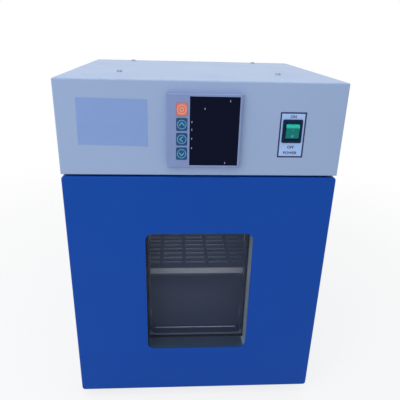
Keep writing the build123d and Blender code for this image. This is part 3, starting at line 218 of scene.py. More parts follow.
class Finish:
    """One new material, or one new world, and the nodes that make it."""

    def __init__(self, name, kind="materials"):
        self.made = getattr(bpy.data, kind).new(name)
        self.made.use_nodes = True
        self.tree = self.made.node_tree
        self.tree.nodes.clear()

    def node(self, kind, settings=None, values=None, output=0):
        """A node of this kind: its settings first, then the values or links of its sockets."""
        made = self.tree.nodes.new(kind)
        for name, value in (settings or {}).items():
            if name == "stops":
                while len(made.color_ramp.elements) < len(value):
                    made.color_ramp.elements.new(0.5)
                for element, (position, colour) in zip(made.color_ramp.elements, value):
                    element.position = position
                    element.color = (*colour, 1.0)
            else:
                setattr(made, name, value)
        for name, value in (values or {}).items():
            if isinstance(value, Wire):
                self.tree.links.new(value.socket, made.inputs[name])
            else:
                made.inputs[name].default_value = value
        return Wire(self, made.outputs[output])

    def place(self, stretch=(1.0, 1.0, 1.0), middle=(0.0, 0.0, 0.0)):
        """Object coordinates about a middle, stretched by a factor along each axis."""
        here = self.node("ShaderNodeTexCoord", output="Object")
        moved = self.node("ShaderNodeVectorMath", {"operation": "SUBTRACT"}, {0: here, 1: middle})
        return self.node("ShaderNodeVectorMath", {"operation": "MULTIPLY"}, {0: moved, 1: stretch})

    def axes(self, vector):
        """The three numbers of a vector."""
        split = self.tree.nodes.new("ShaderNodeSeparateXYZ")
        self.tree.links.new(vector.socket, split.inputs[0])
        return [Wire(self, socket) for socket in split.outputs]

    def noise(self, vector, scale, detail=2.0, rough=0.5):
        """Soft noise from 0 to 1 of about 1/scale metres."""
        return self.node(
            "ShaderNodeTexNoise",
            None,
            {"Vector": vector, "Scale": scale, "Detail": detail, "Roughness": rough},
        )

    def scratches(self, along, squeeze=1.0, rough=0.7):
        """Fine noise from 0 to 1, drawn out along one axis."""
        stretch = np.where(np.array(list("xyz")) == along, 14.0, 1400.0) / squeeze
        return self.noise(self.place(tuple(stretch)), 1.0, 2.0, rough)

    def blend(self, factor, first, second):
        """Colour first where factor is 0 and second where it is 1."""
        return self.node(
            "ShaderNodeMix",
            {"data_type": "RGBA"},
            {0: factor, 6: self.rgba(first), 7: self.rgba(second)},
            output=2,
        )

    def rgba(self, colour):
        """A colour of three numbers gets its fourth; a link stays as it is."""
        return colour if isinstance(colour, Wire) else (*colour[:3], 1.0)

    def bump(self, height, depth, strength=1.0):
        """A normal from a height of 0 to 1 that stands for depth metres."""
        return self.node("ShaderNodeBump", None, {"Height": height, "Distance": depth, "Strength": strength})

    def mix(self, factor, first, second):
        """Shader first where factor is 0 and second where it is 1."""
        return self.node("ShaderNodeMixShader", None, {0: factor, 1: first, 2: second})

    def seen(self):
        """1 for what the camera, glass and metal see, and 0 for the light that falls on matt things."""
        ray = self.tree.nodes.new("ShaderNodeLightPath")
        camera, gloss, glass = (
            Wire(self, ray.outputs[f"Is {kind} Ray"]) for kind in ("Camera", "Glossy", "Transmission")
        )
        return camera.most(gloss).most(glass)

    def out(self, shader, kind="Material"):
        """Put a shader on the output; returns the material or the world."""
        output = self.tree.nodes.new(f"ShaderNodeOutput{kind}")
        self.tree.links.new(shader.socket, output.inputs[0])
        return self.made

    def done(self, **sockets):
        """Put the Principled shader with these sockets on the output; returns the material."""
        values = {name.replace("_", " "): value for name, value in sockets.items()}
        values["Base Color"] = self.rgba(values["Base Color"])
        return self.out(self.node("ShaderNodeBsdfPrincipled", None, values))


def shade(colour, factor):
    """A colour made darker or lighter by a factor."""
    return tuple(min(1.0, part * factor) for part in colour[:3])


def edge_wear(finish, box, width):
    """1 on the edges of a box and 0 more than width inside them.

    A point near an edge is near two of the box's faces, so the mask reads the middle one of its three
    distances to the faces.
    """
    low, high = box
    half = (high - low) / 2
    x, y, z = (part.size() for part in finish.axes(finish.place(middle=tuple((low + high) / 2))))
    x, y, z = half[0] - x, half[1] - y, half[2] - z
    middle = x.least(y).most(x.most(y).least(z))
    return middle.ramp(width, 0.0)


# Finishes

def enamel(name, colour, box, roughness, shine=0.3):
    """Sprayed enamel: orange peel, faint clouds, a few dust nibs, and edges where the coat is thin."""
    finish = Finish(name)
    here = finish.place()
    cloud = finish.noise(here, 6.0, 3.0)
    peel = finish.noise(here, 620.0, 2.0, 0.6)
    nibs = finish.noise(here, 1500.0, 1.0).ramp(0.76, 0.80)
    smear = finish.noise(finish.place((14.0, 14.0, 3.0)), 1.0, 4.0, 0.6)
    wear = edge_wear(finish, box, 1.6 * MM) * finish.noise(here, 90.0, 4.0, 0.7).ramp(0.42, 0.66)
    tone = finish.blend(cloud, shade(colour, 0.955), shade(colour, 1.045))
    tone = finish.blend(nibs * 0.35, tone, shade(colour, 0.6))
    tone = finish.blend(wear * 0.55, tone, shade(colour, 1.5))
    return finish.done(
        Base_Color=tone,
        Roughness=roughness + (smear - 0.5) * 0.22 + wear * 0.1,
        Normal=finish.bump(peel + nibs * 0.8, 0.018 * MM, 0.5),
        Specular_IOR_Level=shine,
        Coat_Weight=0.06,
        Coat_Roughness=0.18,
    )


def brushed(name, colour):
    """Brushed stainless steel: long fine scratches along x, and hand marks in the gloss."""
    finish = Finish(name)
    lines = finish.scratches("x")
    coarse = finish.scratches("x", 6, 0.5)
    marks = finish.noise(finish.place(), 16.0, 4.0, 0.6)
    tone = finish.blend(lines, shade(colour, 0.86), shade(colour, 1.10))
    return finish.done(
        Base_Color=finish.blend(marks.ramp(0.5, 0.8) * 0.25, tone, shade(colour, 0.8)),
        Metallic=1.0,
        Roughness=0.34 + (lines - 0.5) * 0.16 + (marks - 0.5) * 0.18,
        Normal=finish.bump(lines * 0.6 + coarse * 0.4, 0.012 * MM, 0.35),
    )


def tray_steel(name, colour, front):
    """The shelf: steel brushed along y; its front lip is a painted highlight, a pale colour that is not metal."""
    finish = Finish(name)
    lines = finish.scratches("y")
    marks = finish.noise(finish.place(), 16.0, 4.0, 0.6)
    # Painted highlight: the lip is made pale and not metal, so that it looks lit.
    painted_lip_highlight = finish.axes(finish.place())[1].ramp(front + 1.2 * MM, front + 0.4 * MM)
    tone = finish.blend(lines, shade(colour, 0.86), shade(colour, 1.10))
    return finish.done(
        Base_Color=finish.blend(painted_lip_highlight, tone, (0.95, 0.96, 1.0)),
        Metallic=1.0 - painted_lip_highlight,
        Roughness=0.40 + (lines - 0.5) * 0.16 + (marks - 0.5) * 0.18,
        Normal=finish.bump(lines, 0.012 * MM, 0.3),
    )


def reveal_steel(name, jamb, right, sill_painted_light, low):
    """The window's folded sheet, brushed upwards, with painted light and shade: one tone on the right and another
    towards the sill, where it is also less metal.
    """
    finish = Finish(name)
    lines = finish.scratches("z")
    marks = finish.noise(finish.place(), 16.0, 4.0, 0.6)
    across, _, upward = finish.axes(finish.place())
    sill_painted_light_mask = upward.ramp(low + 14.0 * MM, low + 1.0 * MM)
    right_painted_light_mask = across.ramp(74.0 * MM, 78.0 * MM)
    # Painted light and shade: a tone for the right jamb and another towards the sill, set by how the light falls
    # on each.
    tone = finish.blend(right_painted_light_mask, jamb, right)
    tone = finish.blend(sill_painted_light_mask, tone, sill_painted_light)
    return finish.done(
        Base_Color=finish.blend(lines * 0.3, tone, shade(jamb, 0.7)),
        Metallic=1.0 - (sill_painted_light_mask * 0.3).most(right_painted_light_mask * 0.7),
        Roughness=0.30 + (lines - 0.5) * 0.12 + (marks - 0.5) * 0.14,
        Normal=finish.bump(lines, 0.012 * MM, 0.3),
    )


def galvanised(name, colour):
    """Zinc-coated steel: flat crystals with a tone and a gloss each, and a dull bloom."""
    finish = Finish(name)
    grains = finish.node(
        "ShaderNodeTexVoronoi", None, {"Vector": finish.place(), "Scale": 130.0}, output="Color"
    )
    grain = finish.axes(grains)[0]
    bloom = finish.noise(finish.place(), 22.0, 4.0)
    return finish.done(
        Base_Color=finish.blend(grain * 0.6 + bloom * 0.4, shade(colour, 0.78), shade(colour, 1.12)),
        Metallic=0.9,
        Roughness=0.36 + grain * 0.16 + bloom * 0.1,
        Normal=finish.bump(grain, 0.02 * MM, 0.3),
    )


def bright_metal(name, colour, roughness=0.22):
    """Plated or turned metal: fine turning marks, and dull spots where it has been handled."""
    finish = Finish(name)
    spots = finish.noise(finish.place(), 240.0, 4.0, 0.65)
    haze = finish.noise(finish.place(), 45.0, 2.0)
    return finish.done(
        Base_Color=finish.blend(spots.ramp(0.5, 0.75) * 0.5, colour, shade(colour, 0.62)),
        Metallic=1.0,
        Roughness=roughness + spots * 0.14 + haze * 0.1,
        Normal=finish.bump(spots, 0.01 * MM, 0.3),
    )


def moulded(name, colour, roughness=0.45, grain=1800.0, depth=0.02, shine=0.5):
    """Moulded plastic: a spark-eroded grain of a depth in millimetres, with dust and a handled sheen."""
    finish = Finish(name)
    texture = finish.noise(finish.place(), grain, 2.0, 0.6)
    touch = finish.noise(finish.place(), 60.0, 3.0)
    dust = texture.ramp(0.42, 0.30) * touch.ramp(0.4, 0.7)
    tone = finish.blend(touch, shade(colour, 0.93), shade(colour, 1.07))
    return finish.done(
        Base_Color=finish.blend(dust * 0.25, tone, shade(colour, 1.5)),
        Roughness=roughness + (touch - 0.5) * 0.14,
        Normal=finish.bump(texture, depth * MM, 0.4),
        Specular_IOR_Level=shine,
    )


def display_window(name, colour):
    """The display's dark window: wiping marks and a few hairline scratches."""
    finish = Finish(name)
    wipe = finish.noise(finish.place((90.0, 90.0, 18.0)), 1.0, 3.0, 0.6)
    hair = finish.noise(finish.place((2600.0, 2600.0, 60.0)), 1.0, 1.0).ramp(0.70, 0.78)
    return finish.done(
        Base_Color=finish.blend(hair * 0.3 + wipe * 0.15, colour, shade(colour, 1.35)),
        Roughness=0.30 + (wipe - 0.4) * 0.14 + hair * 0.12,
        Normal=finish.bump(hair, -0.01 * MM, 0.3),
        Specular_IOR_Level=0.04,
    )


def rocker_plastic(name, colour, top):
    """The rocker's tinted plastic, with a painted highlight, a brighter green, along its upper shoulder."""
    finish = Finish(name)
    wipe = finish.noise(finish.place((90.0, 90.0, 18.0)), 1.0, 3.0, 0.6)
    # Painted highlight: a brighter green along the upper shoulder, where the light from above falls.
    shoulder = finish.axes(finish.place())[2].ramp(top - 6.5 * MM, top - 4.5 * MM)
    return finish.done(
        Base_Color=finish.blend(shoulder, colour, (0.020, 0.52, 0.40)),
        Roughness=0.34 + (wipe - 0.4) * 0.14,
        Specular_IOR_Level=0.16,
    )


def rubber(name, colour):
    """Soft black rubber: a matt skin with bloom in patches and fine flow marks."""
    finish = Finish(name)
    skin = finish.noise(finish.place(), 1100.0, 3.0, 0.6)
    bloom = finish.noise(finish.place(), 70.0, 4.0, 0.6)
    return finish.done(
        Base_Color=finish.blend(bloom.ramp(0.45, 0.8) * 0.5, colour, shade(colour, 2.4)),
        Roughness=0.62 + bloom * 0.24,
        Normal=finish.bump(skin, 0.03 * MM, 0.5),
    )


def wool(name, colour):
    """Mineral wool: tangled fibres in layers, with darker tufts."""
    finish = Finish(name)
    fibres = finish.noise(finish.place((500.0, 900.0, 2200.0)), 1.0, 4.0, 0.7)
    tufts = finish.noise(finish.place(), 60.0, 4.0)
    return finish.done(
        Base_Color=finish.blend(tufts * 0.6 + fibres * 0.4, shade(colour, 0.6), shade(colour, 1.15)),
        Roughness=0.95,
        Normal=finish.bump(fibres + tufts, 0.6 * MM),
    )


def pane(name, tint, painted_reflection_veil):
    """Float glass: clear but for a veil of a faint blue tint, partly the glass's own and partly a painted
    reflection haze, with wiping marks and a little dust.
    """
    finish = Finish(name)
    wipe = finish.noise(finish.place((10.0, 10.0, 34.0)), 1.0, 4.0, 0.6)
    dust = finish.noise(finish.place(), 1300.0, 1.0).ramp(0.72, 0.80)
    return finish.done(
        # The tint is partly the glass's own colour and partly a painted reflection haze.
        Base_Color=finish.blend(dust, tint, shade(tint, 3.0)),
        Roughness=0.03 + wipe * 0.07,
        Alpha=painted_reflection_veil + wipe * 0.05 + dust * 0.1,
        IOR=1.52,
    )


def heated_steel(name, colour):
    """The sheath of a heater: dull oxide with brown and blue bands of heat tint."""
    finish = Finish(name)
    bands = finish.noise(finish.place((30.0, 30.0, 30.0)), 1.0, 3.0)
    tint = finish.node(
        "ShaderNodeValToRGB",
        {"stops": [(0.30, shade(colour, 0.7)), (0.52, (0.24, 0.15, 0.07)), (0.70, (0.10, 0.11, 0.19))]},
        {"Fac": bands},
    )
    return finish.done(Base_Color=tint, Metallic=0.85, Roughness=0.42 + bands * 0.2)


def circuit_board(name, colour):
    """A board with its green lacquer over copper tracks that run both ways."""
    finish = Finish(name)
    x, _, z = finish.axes(finish.place((480.0, 1.0, 480.0)))
    route = finish.noise(finish.place(), 120.0, 1.0).ramp(0.48, 0.52)
    across = x.math("SINE").ramp(0.55, 0.75) * route
    upward = z.math("SINE").ramp(0.55, 0.75) * (1.0 - route)
    tracks = across.most(upward)
    return finish.done(
        Base_Color=finish.blend(tracks, colour, shade(colour, 2.1)),
        Roughness=0.3 + tracks * 0.1,
        Normal=finish.bump(tracks, 0.03 * MM, 0.5),
    )


def paper(name, colour):
    """Plain label stock: short fibres and a slight cockle."""
    finish = Finish(name)
    fibres = finish.noise(finish.place((500.0, 500.0, 1900.0)), 1.0, 4.0, 0.7)
    cockle = finish.noise(finish.place(), 40.0, 2.0)
    return finish.done(
        Base_Color=finish.blend(cockle * 0.5 + fibres * 0.5, shade(colour, 0.93), shade(colour, 1.07)),
        Roughness=0.55 + fibres * 0.15,
        Normal=finish.bump(cockle * 0.8 + fibres * 0.2, 0.10 * MM, 0.5),
    )


def ink(name, colour):
    """Screen-printed ink: dense colour with a few pinholes."""
    finish = Finish(name)
    pinholes = finish.noise(finish.place(), 3200.0, 2.0).ramp(0.70, 0.78)
    return finish.done(
        Base_Color=finish.blend(pinholes * 0.5, colour, shade(colour, 1.8)),
        Roughness=0.5 + pinholes * 0.2,
    )


ENAMELLED = ("side_panel_left", "side_panel_right", "front_fascia", "top_cover", "rear_panel", "motor_cover")


def slot_finishes(paint):
    """The finish of each material slot that several nodes share."""
    shelf_front = node_box("shelf")[0][1]
    rocker_top = node_box("switch_rocker")[1][2]
    table = (
        ("stainless_steel", brushed, (0.33, 0.36, 0.42)),
        ("shelf_steel", tray_steel, (0.50, 0.54, 0.60), shelf_front),
        ("galvanised_steel", galvanised, (0.46, 0.48, 0.50)),
        ("screw_steel", bright_metal, (0.55, 0.57, 0.60)),
        ("black_rubber", rubber, (0.016, 0.018, 0.022)),
        ("mineral_wool", wool, (0.46, 0.37, 0.20)),
        ("bare_aluminium", bright_metal, (0.60, 0.62, 0.64), 0.32),
        ("motor_enamel", moulded, (0.03, 0.032, 0.038), 0.5, 700.0, 0.06),
        ("black_plastic", moulded, (0.016, 0.016, 0.018), 0.5),
        ("heater_steel", heated_steel, (0.16, 0.14, 0.13)),
        ("controller_plastic", moulded, paint.controller, 0.42),
        ("display_plastic", display_window, paint.display),
        ("board_green", circuit_board, (0.008, 0.08, 0.03)),
        ("key_orange", moulded, paint.set_key, 0.42, 2400.0, 0.01),
        ("key_teal", moulded, paint.arrow_key, 0.42, 2400.0, 0.01, 0.2),
        ("switch_navy", moulded, paint.switch, 0.42, 1800.0, 0.02, 0.12),
        ("rocker_green", rocker_plastic, paint.rocker, rocker_top),
        ("terminal_brass", bright_metal, (0.60, 0.42, 0.14), 0.28),
        ("hinge_brass", bright_metal, (0.55, 0.38, 0.13), 0.26),
        ("terminal_white", moulded, (0.72, 0.70, 0.62), 0.5),
        ("clear_glass", pane, (0.050, 0.078, 0.165), 0.16),
    )
    return {slot: make(slot, *values) for slot, make, *values in table}


class INCUBATOR_OT_finishes(bpy.types.Operator):
    """Give every CAD node the finish of its slot, and enamel, sheet and panes that need it their own"""

    bl_idname = "incubator.finishes"
    bl_label = "Finishes"

    def execute(self, context):
        paint = context.scene.incubator_paint
        shared = slot_finishes(paint)
        for entry in frame["record"]["subparts"]:
            node = entry["node"]
            if node in ENAMELLED:
                chosen = enamel(f"enamel_{node}", paint.case, node_box(node), paint.roughness)
            elif node == "window_frame":
                bottom = node_box(node)[0][2]
                # Painted light and shade: the left jamb and the top darker, the right jamb and the sill lighter.
                painted_light_tones = (0.17, 0.20, 0.29), (0.46, 0.54, 0.64), (0.34, 0.55, 0.78)
                chosen = reveal_steel("reveal_steel", *painted_light_tones, bottom)
            elif node == "inner_glass":
                chosen = pane("inner_pane", (0.045, 0.070, 0.150), 0.08)
            elif node == "window_retainer":
                # Painted shade and a painted highlight: dark all over but for a bright band just above the lower
                # edge.
                glass_edge = node_box(node)[0][2] + 8.0 * MM
                painted_light_tones = (0.05, 0.06, 0.08), (0.05, 0.06, 0.08), (0.80, 0.90, 1.0)
                chosen = reveal_steel("retainer_steel", *painted_light_tones, glass_edge)
            elif node == "door_skin":
                chosen = enamel("enamel_door", paint.door, node_box(node), paint.roughness, 0.1)
            else:
                chosen = shared[entry["material_slot"]]
            mesh = frame["nodes"][node].data
            mesh.materials.clear()
            mesh.materials.append(chosen)
        return {"FINISHED"}


# Surfaces on grids

def quads(rows, columns, wrap_rows, wrap_columns):
    """The faces of a grid of points, row by row, joined round where a direction wraps."""
    row = np.arange(rows if wrap_rows else rows - 1)[:, None]
    column = np.arange(columns if wrap_columns else columns - 1)[None, :]
    next_row = (row + 1) % rows
    next_column = (column + 1) % columns
    faces = np.stack(
        np.broadcast_arrays(
            row * columns + column,
            row * columns + next_column,
            next_row * columns + next_column,
            next_row * columns + column,
        ),
        axis=-1,
    )
    return faces.reshape(-1, 4)


def piece(name, parts, material, body, smooth=True):
    """One object from (points, faces) parts, with outward normals, that rides on a body."""
    points = np.concatenate([part for part, _ in parts])
    starts = np.cumsum([0] + [len(part) for part, _ in parts[:-1]])
    faces = [
        [int(corner + start) for corner in face] for (_, some), start in zip(parts, starts) for face in some
    ]
    mesh = bpy.data.meshes.new(name)
    mesh.from_pydata(points.tolist(), [], faces)
    mesh.validate()
    made = bpy.data.objects.new(name, mesh)
    bpy.context.scene.collection.objects.link(made)
    bpy.context.view_layer.objects.active = made
    bpy.ops.object.select_all(action="DESELECT")
    made.select_set(True)
    bpy.ops.object.mode_set(mode="EDIT")
    bpy.ops.mesh.select_all(action="SELECT")
    bpy.ops.mesh.remove_doubles(threshold=0.0005 * MM)
    bpy.ops.mesh.normals_make_consistent(inside=False)
    bpy.ops.object.mode_set(mode="OBJECT")
    if smooth:
        bpy.ops.object.shade_smooth_by_angle(angle=radians(35.0))
    mesh.materials.append(material)
    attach(made, body)
    return made


def rounded_outline(half_x, half_z, radius, steps=8):
    """Points round a rectangle with round corners: four quarter circles about the corners' centres."""
    quarter = np.linspace(0.0, np.pi / 2, steps)
    angle = (np.arange(4)[:, None] * np.pi / 2 + quarter).ravel()
    side_x = np.repeat([1.0, -1.0, -1.0, 1.0], steps)
    side_z = np.repeat([1.0, 1.0, -1.0, -1.0], steps)
    x = side_x * (half_x - radius) + radius * np.cos(angle)
    z = side_z * (half_z - radius) + radius * np.sin(angle)
    return np.stack([x, z], axis=-1)


def circle_outline(radius, steps=40):
    """Points round a circle."""
    angle = np.linspace(0.0, 2 * np.pi, steps, endpoint=False)
    return radius * np.stack([np.cos(angle), np.sin(angle)], axis=-1)


def facing_front(flat, depth, centre, face):
    """Points of (x, z) outlines and depths in front of a face, as places round a centre."""
    x, z = np.broadcast_arrays(flat[..., 0], flat[..., 1])
    return np.stack([centre[0] + x, np.broadcast_to(face - depth, x.shape), centre[1] + z], axis=-1)


def ring_plate(outer, inner, height, centre, face, edge=0.1):
    """A plate of some height between an outer and an inner outline, with broken edges.

    Each point is inner + t (outer - inner) in the plate's plane and stands h in front of the face; the pairs
    (t, h) run round the section, and edge is the share of the width that the broken edge takes.
    """
    across = np.array([0.0, 0.0, edge, 1.0 - edge, 1.0, 1.0])
    depth = np.array([0.0, 0.8, 1.0, 1.0, 0.8, 0.0]) * height
    flat = inner[None] + across[:, None, None] * (outer - inner)[None]
    points = facing_front(flat, depth[:, None] * np.ones(len(outer)), centre, face)
    return points.reshape(-1, 3), quads(len(across), len(outer), True, True)


def ribbon(path, width, height, centre, face):
    """A flat printed stroke along a path of (x, z) points, with mitred corners and square ends.

    At each point the stroke reaches width / 2 to each side along the mitre, the mean of its runs' normals
    stretched so that the runs keep their width.
    """
    path = np.asarray(path, float)
    run = np.diff(path, axis=0)
    run /= np.linalg.norm(run, axis=1)[:, None]
    normal = np.stack([-run[:, 1], run[:, 0]], axis=-1)
    before = np.concatenate([normal[:1], normal])
    after = np.concatenate([normal, normal[-1:]])
    mitre = before + after
    mitre /= np.sum(mitre * before, axis=1)[:, None]
    side = np.array([-0.5, -0.5, 0.5, 0.5]) * width
    depth = np.array([0.0, 1.0, 1.0, 0.0]) * height
    flat = path[:, None] + side[None, :, None] * mitre[:, None]
    points = facing_front(flat, np.ones(len(path))[:, None] * depth, centre, face)
    last = 4 * (len(path) - 1)
    caps = [[0, 1, 2, 3], [last, last + 1, last + 2, last + 3]]
    faces = np.concatenate([quads(len(path), 4, False, True), np.array(caps)])
    return points.reshape(-1, 3), faces


# Bare paper label

class INCUBATOR_OT_label(bpy.types.Operator):
    """Stick a bare paper label on the fascia"""

    bl_idname = "incubator.label"
    bl_label = "Label"

    def execute(self, context):
        label = context.scene.incubator_label
        low, _ = node_box("front_fascia")
        gap, lifted, wave = 0.03 * MM, 0.5 * MM, 0.04 * MM
        across = np.linspace(-0.5, 0.5, 49)[None, :]
        upward = np.linspace(-0.5, 0.5, 33)[:, None]
        x = across * label.width + 0 * upward
        z = upward * label.height + 0 * across
        corner_lift = lifted * np.clip(across + 0.5, 0, 1) ** 9 * np.clip(0.5 - upward, 0, 1) ** 9
        cockle = wave * (1 + np.sin(9 * across + 2) * np.cos(7 * upward))
        lift = gap + corner_lift + cockle * (1 - (2 * upward) ** 2) * (1 - (2 * across) ** 2)
        turn_x = x * cos(label.tilt) + z * sin(label.tilt)
        turn_z = z * cos(label.tilt) - x * sin(label.tilt)
        centre_x = low[0] + label.left + label.width / 2
        centre_z = low[2] + label.rise + label.height / 2
        back = np.stack([centre_x + turn_x, FASCIA_FACE - lift, centre_z + turn_z], axis=-1)
        front = back - np.array([0.0, label.thickness, 0.0])
        rim = np.concatenate([back[:, :1], front, back[:, :0:-1]], axis=1)
        rows, columns = rim.shape[:2]
        caps = [
            [start + 1 + step, start + 2 + step, start + columns - 1 - step, start + columns - step]
            for start in (0, (rows - 1) * columns)
            for step in range(1, columns // 2 - 1)
        ]
        piece(
            "paper_label",
            [(rim.reshape(-1, 3), np.concatenate([quads(rows, columns, False, True), np.array(caps)]))],
            paper("label_paper", context.scene.incubator_paint.paper),
            "cabinet",
        )
        return {"FINISHED"}


# Plate of the power switch

def letters(name, text, height, centre, face, material):
    """A word in raised print on the fascia, with capitals of the given height, in the middle of a place."""
    curve = bpy.data.curves.new(name, "FONT")
    curve.body = text
    curve.extrude = 0.01
    curve.offset = 0.024
    writing = bpy.data.objects.new(name, curve)
    bpy.context.scene.collection.objects.link(writing)
    bpy.context.view_layer.update()
    mesh = bpy.data.meshes.new_from_object(writing.evaluated_get(bpy.context.evaluated_depsgraph_get()))
    bpy.data.objects.remove(writing)
    points = mesh_points(mesh)
    low, high = points.min(axis=0), points.max(axis=0)
    points -= (low + high) / 2
    scale = height / (high[1] - low[1])
    placed = facing_front(points[:, :2] * scale, PRINT_RELIEF * (points[:, 2] > 0), centre, face)
    faces = [list(polygon.vertices) for polygon in mesh.polygons]
    bpy.data.meshes.remove(mesh)
    return piece(name, [(placed, faces)], material, "cabinet", smooth=False)


class INCUBATOR_OT_switch_plate(bpy.types.Operator):
    """Put the bordered plate with its words behind the power switch"""

    bl_idname = "incubator.switch_plate"
    bl_label = "Switch plate"

    def execute(self, context):
        plate = context.scene.incubator_switch_plate
        paint = context.scene.incubator_paint
        low, high = node_box("switch_housing")
        middle = front_middle("switch_housing")
        centre = (middle[0], middle[1] - plate.drop)
        margin, corner, hole_corner, border_corner = 0.3 * MM, 1.0 * MM, 1.7 * MM, 0.5 * MM
        hole_x = (high[0] - low[0]) / 2 + margin
        hole_z = (high[2] - low[2]) / 2 + margin
        outer = rounded_outline(plate.width / 2, plate.height / 2, corner)
        hole = rounded_outline(hole_x, hole_z, hole_corner) + np.array([0.0, plate.drop])
        piece(
            "switch_plate",
            [ring_plate(outer, hole, plate.thickness, centre, FASCIA_FACE, 0.03)],
            moulded("plate_lacquer", paint.plate, 0.38, 2600.0, 0.006),
            "cabinet",
        )
        top = FASCIA_FACE - plate.thickness
        dark = ink("plate_ink", (0.003, 0.009, 0.065))
        inside = rounded_outline(
            plate.width / 2 - plate.border, plate.height / 2 - plate.border, border_corner
        )
        piece(
            "plate_border",
            [ring_plate(outer, inside, PRINT_RELIEF, centre, top, 0.05)],
            dark,
            "cabinet",
        )
        rim_top = (high[2] + centre[1] + plate.height / 2 - plate.border) / 2
        below = low[2] - (centre[1] - plate.height / 2 + plate.border)
        words = (
            ("word_on", "ON", rim_top, 0.92),
            ("word_off", "OFF", low[2] - below * 0.33, 0.95),
            ("word_power", "POWER", low[2] - below * 0.76, 0.95),
        )
        for name, text, z, share in words:
            letters(name, text, plate.letter_height * share, (middle[0], z), top, dark)
        return {"FINISHED"}


class INCUBATOR_OT_rocker_signs(bpy.types.Operator):
    """Print the line and the circle on the rocker's dished face"""

    bl_idname = "incubator.rocker_signs"
    bl_label = "Rocker signs"

    def execute(self, context):
        joint = next(j for j in frame["joints"] if j["name"] == "rocker_tilt")
        pivot = np.array(joint["pos_m"])
        lean = radians(joint["range_deg"][1] / 2)
        reach, spread, dish = 8.2 * MM, 5.0 * MM, 0.5 * MM
        ring, stroke, ring_drop = 1.3 * MM, 0.45 * MM, 4.6 * MM
        line_foot, line_top, line_width = 3.4 * MM, 5.8 * MM, 0.5 * MM
        outer, inner = circle_outline(ring), circle_outline(ring - stroke)
        parts = [
            ring_plate(outer, inner, 1.0, (0.0, -ring_drop), 0.0),
            ribbon([(0.0, line_foot), (0.0, line_top)], line_width, 1.0, (0.0, 0.0), 0.0),
        ]
        placed = []
        for points, faces in parts:
            up = points[:, 2]
            hollow = dish * np.clip(1 - (up / spread) ** 2, 0, 1)
            forward = reach - hollow + PRINT_RELIEF * (points[:, 1] < -0.5)
            across = pivot[0] + points[:, 0]
            y = pivot[1] - forward * cos(lean) - up * sin(lean)
            z = pivot[2] - forward * sin(lean) + up * cos(lean)
            placed.append((np.stack([across, y, z], axis=-1), faces))
        light = ink("sign_ink", (0.30, 0.60, 0.55))
        piece("rocker_signs", placed, light, "rocker")
        return {"FINISHED"}


# Signs on the keys and marks on the display

class INCUBATOR_OT_key_signs(bpy.types.Operator):
    """Print a ring and a sign on each key of the controller"""

    bl_idname = "incubator.key_signs"
    bl_label = "Key signs"

    def execute(self, context):
        keys = context.scene.incubator_keys
        reach = 0.56 * keys.ring
        signs = {
            "key_up": [(-reach, -reach * 0.45), (0.0, reach * 0.75), (reach, -reach * 0.45)],
            "key_shift": [(reach * 0.45, reach), (-reach * 0.75, 0.0), (reach * 0.45, -reach)],
            "key_down": [(-reach, reach * 0.45), (0.0, -reach * 0.75), (reach, reach * 0.45)],
        }
        blue = ink("key_blue_ink", (0.130, 0.340, 0.540))
        warm = ink("key_warm_ink", (0.800, 0.420, 0.300))
        bodies = {
            node: body
            for body, group in frame["record"]["behaviour"]["bodies"].items()
            for node in group
        }
        for node in ("key_set", "key_up", "key_shift", "key_down"):
            face = node_box(node)[0][1]
            centre = front_middle(node)
            parts = []
            for radius in [keys.ring] if node in signs else [keys.ring, 0.45 * keys.ring]:
                outer, inner = circle_outline(radius), circle_outline(radius - keys.stroke)
                parts.append(ring_plate(outer, inner, keys.relief, centre, face))
            if node in signs:
                parts.append(ribbon(signs[node], 1.5 * keys.stroke, keys.relief, centre, face))
            slot, print_ink = ("key_teal", blue) if node in signs else ("key_orange", warm)
            piece(f"{node}_sign", parts, print_ink, bodies[node])
        return {"FINISHED"}


class INCUBATOR_OT_display_marks(bpy.types.Operator):
    """Print the small plain marks beside the lamps of the controller's display"""

    bl_idname = "incubator.display_marks"
    bl_label = "Display marks"

    def execute(self, context):
        low, high = node_box("controller_display")
        size = high - low
        length, width = 2.3 * MM, 1.0 * MM
        shares = [(0.045, drop) for drop in (0.36, 0.47, 0.60, 0.74)]
        shares += [(0.30, 0.17), (0.80, 0.06), (0.74, 0.96)]
        path = [(0.0, -length / 2), (0.0, length / 2)]
        parts = [
            ribbon(path, width, PRINT_RELIEF, (low[0] + across * size[0], high[2] - drop * size[2]), low[1])
            for across, drop in shares
        ]
        white = ink("mark_ink", (0.32, 0.34, 0.42))
        piece("display_marks", parts, white, "cabinet")
        return {"FINISHED"}


# Painted highlight: a thin white strip on the lower rear edge of the inner panel's collar

class INCUBATOR_OT_collar_highlight(bpy.types.Operator):
    """Lay a thin white strip, a painted highlight, along the lower rear edge of the window's collar"""

    bl_idname = "incubator.collar_hem"
    bl_label = "Collar highlight"

    def execute(self, context):
        low, high = node_box("inner_glass")
        bite, corner, wire = 6.0 * MM, 7.0 * MM, 0.7 * MM
        half = (high[0] - low[0]) / 2 - bite - corner
        centre = (front_middle("inner_glass")[0], low[2] + bite + wire / 2)
        highlight_line = ribbon([(-half, 0.0), (half, 0.0)], wire, wire, centre, low[1])
        # Painted highlight: a white, matt strip where the edge looks lit.
        bright = ink("hem_steel", (0.95, 0.97, 1.0))
        piece("collar_hem", [highlight_line], bright, "door", smooth=False)
        return {"FINISHED"}


# Screws

